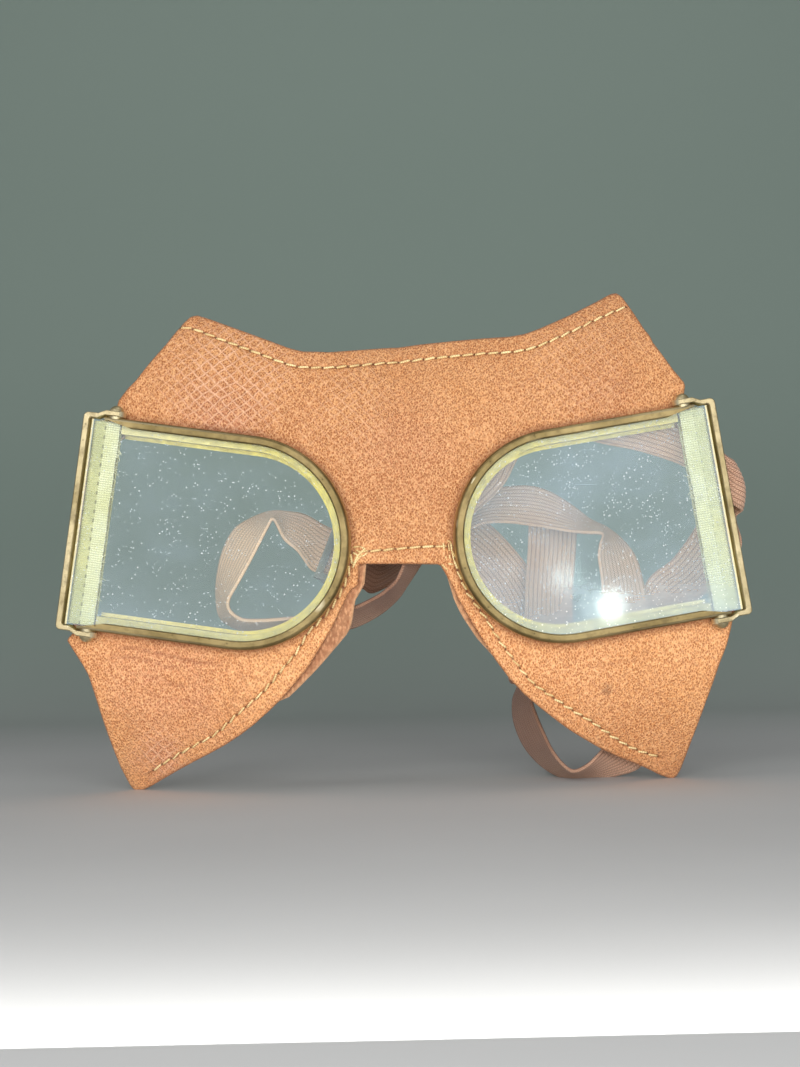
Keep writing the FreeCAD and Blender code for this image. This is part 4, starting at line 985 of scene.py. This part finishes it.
def elastic_material():
    m = Shader("woven_elastic")
    x, y = m.weave()
    pitch, slope = 0.62, 1.25
    # chevrons: up one column, down the next
    column = m.math("PINGPONG", x, STRAP_RIB)
    phase = m.add(m.times(y, 1 / pitch), column, share=slope / pitch)
    chevron = m.ripple(m.times(phase, math.tau))
    rib = m.ripple(m.times(x, math.tau / STRAP_RIB), "COSINE")
    cloud = m.noise(scale=120.0, detail=4.0, roughness=0.6)
    fine = m.noise(scale=1500.0, detail=4.0, roughness=0.7)
    fleck = m.cells(scale=1500.0)
    m.base(m.grade(cloud, span=(0.35, 0.7)), low=(206, 156, 126), high=(230, 184, 152))
    m.paint(m.grade(chevron, span=(0.50, 0.95)), colour=(250, 216, 188), share=0.60)
    m.paint(m.grade(rib, span=(0.28, 0.02)), colour=(118, 72, 52), share=0.62)
    m.paint(m.grade(chevron, span=(0.35, 0.02)), colour=(130, 80, 58), share=0.45)
    m.paint(m.grade(fleck, span=(0.16, 0.04), to=(0.0, 0.45)), colour=(226, 184, 150))
    m.paint(m.grade(fine, span=(0.56, 0.8), to=(0.0, 0.5)), colour=(134, 84, 62))
    # painted shade on the web in the nose gap and the low loop, where it lies under the mask
    painted_shade = m.patches([(-7, -12, 17, 1), (32, -50, 26, 1)])
    m.paint(painted_shade, colour=(96, 60, 42), share=0.75)
    # painted light: the web behind the right lens paler, where light falls on it through the glass
    painted_light = m.times(m.near(x=-38, z=-8, radius=26), m.grade(rib, span=(0.1, 0.5), to=(0.3, 0.75)))
    m.paint(painted_light, colour=(255, 214, 176))
    height = m.add(m.times(rib, share=0.6), chevron, share=0.8)
    height = m.add(height, fine, share=0.3)
    return m.close(m.principled(Roughness=0.86, Sheen_Weight=0.15,
                                Normal=m.bump(height, depth=0.00016, strength=0.9)))


def thread_material():
    m = Shader("thread")
    around, along = m.weave()
    twist_pitch = 0.5
    twist = m.ripple(m.add(m.times(along, math.tau / twist_pitch), around, share=math.tau))
    fine = m.noise(scale=900.0, roughness=0.6)
    m.base(m.attribute("tone"), low=(214, 178, 118), high=(250, 228, 172))
    m.paint(m.grade(twist, span=(0.4, 0.02)), colour=(168, 128, 76), share=0.45)
    m.paint(m.grade(fine, span=(0.55, 0.75), to=(0.0, 0.35)), colour=(184, 142, 90))
    height = m.add(twist, fine, share=0.3)
    return m.close(m.principled(Roughness=0.72,
                                Normal=m.bump(height, depth=0.00008, strength=0.9)))


def floor_material():
    """pale floor that falls away to a quiet grey behind"""
    m = Shader("studio_floor")
    cloud = m.noise(scale=9.0)
    far = m.grade(m.axis(m.place, 1), span=(0.10, 0.47), interpolation_type="SMOOTHSTEP")
    pale = m.mix(m.grade(cloud, span=(0.3, 0.7)),
                 under=(0.50, 0.50, 0.495, 1), over=(0.53, 0.53, 0.525, 1))
    m.colour = m.mix(far, pale, over=(0.285, 0.355, 0.312, 1))
    solid = m.principled(Roughness=0.9, Specular_IOR_Level=0.1)
    # seen from behind, the sweep lets the view through
    behind = m.node("NewGeometry").outputs["Backfacing"]
    return m.close(m.mix_shader(behind, solid, m.node("BsdfTransparent").outputs[0]))


# ---------------------------------------------------------------- mask
leather = leather_material()
lining = lining_material()
sheet("mask_leather_skin", MASK, [d_opening(OPENING_S, side, step=0.8) for side, _ in SIDES],
      step=0.95, front=0.0, thickness=LEATHER_T, relief=leather_relief, material=leather,
      replaces="mask_leather", seed=5, rim_radius=0.55,
      features=[path for _, path in SEAMS.values()])
sheet("mask_lining_skin", LINING,
      [d_opening(OPENING_S - 0.1, side, step=1.2) for side, _ in SIDES],
      step=1.5, front=LEATHER_T + LINING_GAP, thickness=LINING_T, relief=lining_relief,
      material=lining, replaces="mask_lining", seed=6, rim_radius=0.35)


# ---------------------------------------------------------------- stitches
def stitch_seam(key, seed, slant, radius, tacks, material):
    """one stitch per pitch, each slanted across the seam"""
    pitch, path = SEAMS[key]
    rng = np.random.default_rng(seed)
    run = run_length(path)
    shape = Shape()

    def at(length):
        return np.array([np.interp(length, run, path[:, 0]), np.interp(length, run, path[:, 1])])

    hole = FIRST_STITCH
    while hole + pitch < run[-1] + 0.6:
        start = at(hole + 0.16 + rng.uniform(-0.06, 0.10))
        end = at(min(hole + pitch - 0.16 + rng.uniform(-0.10, 0.06), run[-1]))
        step = end - start
        across = np.array([-step[1], step[0]]) / max(np.linalg.norm(step), 1e-6)
        offset = across * (slant * rng.uniform(0.5, 1.4))
        shape.stitch(start - offset, end + offset, radius * rng.uniform(0.9, 1.1),
                     rng.uniform(0.25, 0.95))
        hole += pitch
    for start, end in tacks:
        shape.stitch(start, end, 0.20 * rng.uniform(0.85, 1.15), rng.uniform(0.2, 1.0),
                     lift=0.22 + rng.uniform(0, 0.12))
    make_object(key + "_seam_stitches", shape.points, shape.faces, material,
                key + "_seam_thread", attributes={"tone": shape.tones}, weave=shape.weave)


thread = thread_material()
# seam, seed, slant, thread radius, tacks
for key, seed, slant, radius, tacks in (
        ("top", 11, 0.16, 0.27, ()), ("bridge", 12, 0.10, 0.27, TACKS),
        ("left_flap", 13, 0.30, 0.25, ()), ("right_flap", 14, 0.30, 0.25, ())):
    stitch_seam(key, seed, slant, radius, tacks, thread)


# ---------------------------------------------------------------- strap
def strap_edge(table, tuck):
    """edge line, with the tucked stations shifted"""
    return [np.array(p) + np.array(tuck.get(i, (0, 0, 0))) for i, p in enumerate(table)]


def strap_shape():
    per_station, columns, thickness = 7, 44, 1.02
    slider_station = 47.3
    swell_start, swell_end = 10.0, 14.0       # stations between which the web swells to +X
    edge_a = rounded(strap_edge(STRAP_EDGE_A, TUCK_A), per_station)
    edge_b = rounded(strap_edge(STRAP_EDGE_B, TUCK_B), per_station)
    middle = (edge_a + edge_b) / 2
    across = edge_b - edge_a
    normal = unit(np.cross(np.gradient(middle, axis=0), across))
    for _ in range(14):
        blurred = normal.copy()
        blurred[1:-1] = 0.25 * normal[:-2] + 0.5 * normal[1:-1] + 0.25 * normal[2:]
        normal = unit(blurred)
    run = run_length(middle)
    shape = Shape()
    fractions = np.linspace(0, 1, columns)
    for i in range(len(edge_a)):
        station = i / per_station
        # 0 where the web runs flat in the slider, 1 elsewhere
        loose = min(max((abs(station - slider_station) - 1.0) / 1.5, 0.0), 1.0)
        for face in (1, -1):
            for f in fractions[::face]:
                x = f * STRAP_WIDTH
                inward = min(x, STRAP_WIDTH - x)
                edge = math.sqrt(max(1 - (1 - min(inward / 0.45, 1.0)) ** 2, 0.05))
                height = ((thickness - 0.14 * (1 - loose)) / 2 * edge
                          + 0.075 * loose * math.cos(math.tau * x / STRAP_RIB)
                          * min(inward / 0.6, 1))
                bow = 0.15 * loose * math.sin(math.pi * f) * math.sin(run[i] * 0.11)
                point = edge_a[i] + across[i] * f + normal[i] * (face * height + bow)
                if swell_start < station < swell_end:
                    swell = math.sin(math.pi * (station - swell_start) / (swell_end - swell_start))
                    point = point + np.array([1.5 * math.sin(math.pi * f) * swell, 0, 0])
                shape.points.append(point)
                shape.weave.append((x + (0.0 if face == 1 else 0.35), run[i]))
    shape.loft(2 * columns, len(edge_a))
    return shape


strap = strap_shape()
make_object("head_strap_web", strap.points, strap.faces, elastic_material(),
            "head_strap", weave=strap.weave)


# ---------------------------------------------------------------- edge tapes
def tape_section():
    """(u, w) round the fold, from the free front edge to the free back edge"""
    front = -3.34
    back = (LEATHER_W - LEATHER_T - LINING_GAP - LINING_T - COLLAR_GAP - COLLAR_T) - 0.45
    inner, outer = BAR_U - 8.5, BAR_U - 1.9 - 0.05
    r = 0.65                                   # radius of the two folds
    quarter = np.linspace(0, math.pi / 2, 5)
    path = [(inner - 0.15 + k * 0.5, front)
            for k in range(int((outer - r - inner + 0.15) / 0.5) + 1)]
    path += [(outer - r + r * math.sin(a), front - r + r * math.cos(a)) for a in quarter]
    path += [(outer, w) for w in np.linspace(front - r - 0.6, back + r + 0.6, 7)]
    path += [(outer - r + r * math.cos(a), back + r - r * math.sin(a)) for a in quarter]
    path += [(outer - r - 0.5 - k * 0.5, back) for k in range(int((outer - r - inner) / 0.5))]
    return inner, front, resample(path, 0.42, smooth=False)


def tape_shape(side, seed):
    """cotton binding folded round the outboard edge, open towards the nose"""
    rng = np.random.default_rng(seed)
    inner, front, path = tape_section()
    count = len(path)
    tangent = unit(np.gradient(path, axis=0))
    outward = np.stack([-tangent[:, 1], tangent[:, 0]], 1)
    run = run_length(path)
    heights = np.arange(-25.15, 25.16, 0.14)
    line = np.stack([heights, heights * 0, heights * 0], 1)
    fray = smooth_noise(line, 0.9, seed)
    wander = smooth_noise(line, 0.12, seed + 5)
    shape = Shape()
    for j, v in enumerate(heights):
        rib = 0.5 + 0.5 * math.sin(math.tau * v / COTTON_RIB)
        for face in (1, -1):
            for i in range(count)[::face]:
                height = (0.055 * rib + 0.02 * math.sin(run[i] * 9)) if face == 1 else -0.36
                shift = 0.0
                if run[i] < 1.2:
                    shift = -(0.16 * fray[j] + 0.28 * wander[j]) * (1 - run[i] / 1.2)
                u, w = path[i] + outward[i] * height
                shape.points.append(eye_point(u + shift, v, w, side))
                shape.weave.append((run[i], v))
    shape.loft(2 * count, len(heights), mirrored=side == -1)
    # loose weft ends at the inboard edge, some of them in three bunches
    for _ in range(46):
        height = rng.uniform(-23.5, 23.5)
        if rng.uniform() < 0.45:
            height = rng.choice([18.5, -14.0, 6.0]) + rng.normal(0, 2.0)
        height = float(np.clip(height, -23.5, 23.5))
        length = rng.uniform(0.7, 2.1)
        angle = rng.uniform(-0.9, 0.9)
        end = []
        for t in np.linspace(0, 1, 6):
            u = inner + 0.25 - length * t * math.cos(angle * t)
            v = height + length * t * math.sin(angle) + 0.25 * math.sin(t * 5 + height)
            end.append(eye_point(u, v, front - 0.18 - 0.25 * t, side))
        shape.tube(end, 0.055, sides=5)
    return shape


for (side, side_name), outer_shade_and_dots in zip(SIDES, (0.28, 0.72)):
    tape = tape_shape(side, 31 + side)
    make_object(side_name + "_edge_tape_binding", tape.points, tape.faces,
                cotton_material(side_name + "_cotton_tape", outer_shade_and_dots),
                side_name + "_edge_tape", weave=tape.weave)


# ---------------------------------------------------------------- metal and glass from the frame
def dress(node_name, material):
    materials = NODES[node_name].data.materials
    materials.clear()
    materials.append(material)


for side, side_name in SIDES:
    rim_brass = brass_material(side_name + "_rim_brass", side, wear_and_highlight=0.35)
    gate_brass = brass_material(side_name + "_gate_brass", side, wear_and_highlight=0.9,
                                low=(160, 144, 104), high=(216, 200, 158))
    ring_brass = brass_material(side_name + "_ring_brass", side, wear_and_highlight=0.3)
    glass = glass_material(side_name + "_glass", side)
    for part, material in (("front_rim", rim_brass), ("back_ring", ring_brass),
                           ("clamp_ring", ring_brass), ("lens", glass), ("gate", gate_brass),
                           ("gate_upper_rivet", gate_brass), ("gate_lower_rivet", gate_brass)):
        dress(side_name + "_" + part, material)
dress("strap_slider", steel_material())


# ---------------------------------------------------------------- stage
def backdrop():
    """floor that sweeps up into a wall behind"""
    floor_z, bend_y, radius = -63.2, 260.0, 260.0
    profile = [(-2600.0, floor_z), (bend_y, floor_z)]
    profile += [(bend_y + radius * math.sin(a), floor_z + radius - radius * math.cos(a))
                for a in np.linspace(0, math.pi / 2, 24)[1:]]
    profile += [(bend_y + radius, 1500.0)]
    points = [(x * MM, y * MM, z * MM) for y, z in profile for x in (-2400.0, 2400.0)]
    faces = [(2 * i, 2 * i + 1, 2 * i + 3, 2 * i + 2) for i in range(len(profile) - 1)]
    mesh = bpy.data.meshes.new("studio_sweep")
    mesh.from_pydata(points, [], faces)
    mesh.polygons.foreach_set("use_smooth", [True] * len(mesh.polygons))
    mesh.materials.append(floor_material())
    ob = bpy.data.objects.new("studio_sweep", mesh)
    bpy.context.scene.collection.objects.link(ob)
    return ob


def area(name, place, aim, power, width, height=None, colour=(1, 1, 1), glossy=True):
    """rectangular area light, or a disk when no height is given; mm and watts"""
    light = bpy.data.lights.new(name, "AREA")
    light.shape = "RECTANGLE" if height else "DISK"
    light.size = width * MM
    if height:
        light.size_y = height * MM
    light.energy = power
    light.color = colour
    ob = bpy.data.objects.new(name, light)
    ob.location = Vector([c * MM for c in place])
    direction = Vector([c * MM for c in aim]) - ob.location
    ob.rotation_euler = direction.to_track_quat("-Z", "Y").to_euler()
    ob.visible_camera = False
    if not glossy:
        ob.visible_glossy = False
    bpy.context.scene.collection.objects.link(ob)
    return ob


def camera():
    """front view from slightly below, slightly rolled"""
    data = bpy.data.cameras.new("camera")
    data.lens = 62.86
    data.sensor_width = 36.0
    data.shift_x = -0.001874414
    data.shift_y = -0.0004686036
    data.clip_start = 0.01
    data.clip_end = 10.0
    ob = bpy.data.objects.new("camera", data)
    bpy.context.scene.collection.objects.link(ob)
    roll = math.radians(1.25)
    ahead = Vector((0, math.cos(CAMERA_ELEV), math.sin(CAMERA_ELEV)))
    level_up = Vector((0, -math.sin(CAMERA_ELEV), math.cos(CAMERA_ELEV)))
    right = Vector((1, 0, 0)) * math.cos(roll) - level_up * math.sin(roll)
    up = Vector((1, 0, 0)) * math.sin(roll) + level_up * math.cos(roll)
    place = -ahead * (CAMERA_Y * MM)
    rows = [(right[k], up[k], -ahead[k], place[k]) for k in range(3)]
    ob.matrix_world = Matrix((*rows, (0, 0, 0, 1)))
    return ob


stage = [
    backdrop(),
    area("front_panel", place=(0, -520, 30), aim=(0, 0, 0), power=3.0, width=760, height=520),
    area("key_softbox", place=(-380, -420, 520), aim=(0, 0, 0), power=0.50, width=300, height=240,
         colour=(1.0, 0.985, 0.955)),
    area("top_softbox", place=(120, -60, 620), aim=(0, 20, 0), power=0.45, width=420, height=260),
    area("front_fill", place=(0, -560, 40), aim=(0, 0, -30), power=1.55, width=600, height=120,
         glossy=False),
    area("floor_card", place=(0, -240, -58), aim=(0, 0, -30), power=0.42, width=420, height=70,
         colour=(1, 0.99, 0.97), glossy=False),
    area("lamp_spot_a", place=(161, -430, -25.5), aim=(50, 0, -18), power=0.017, width=12),
    area("lamp_spot_b", place=(140, -430, -11), aim=(40, 0, -11), power=0.0055, width=12,
         colour=(0.86, 0.95, 1)),
]

scene = bpy.context.scene
world = bpy.data.worlds.new("studio_world")
scene.world = world
world.use_nodes = True
background = world.node_tree.nodes["Background"]
background.inputs["Color"].default_value = (0.93, 0.95, 1.0, 1)
background.inputs["Strength"].default_value = 0.22

scene.camera = camera()
scene.view_settings.view_transform = "Standard"
scene.view_settings.look = "None"
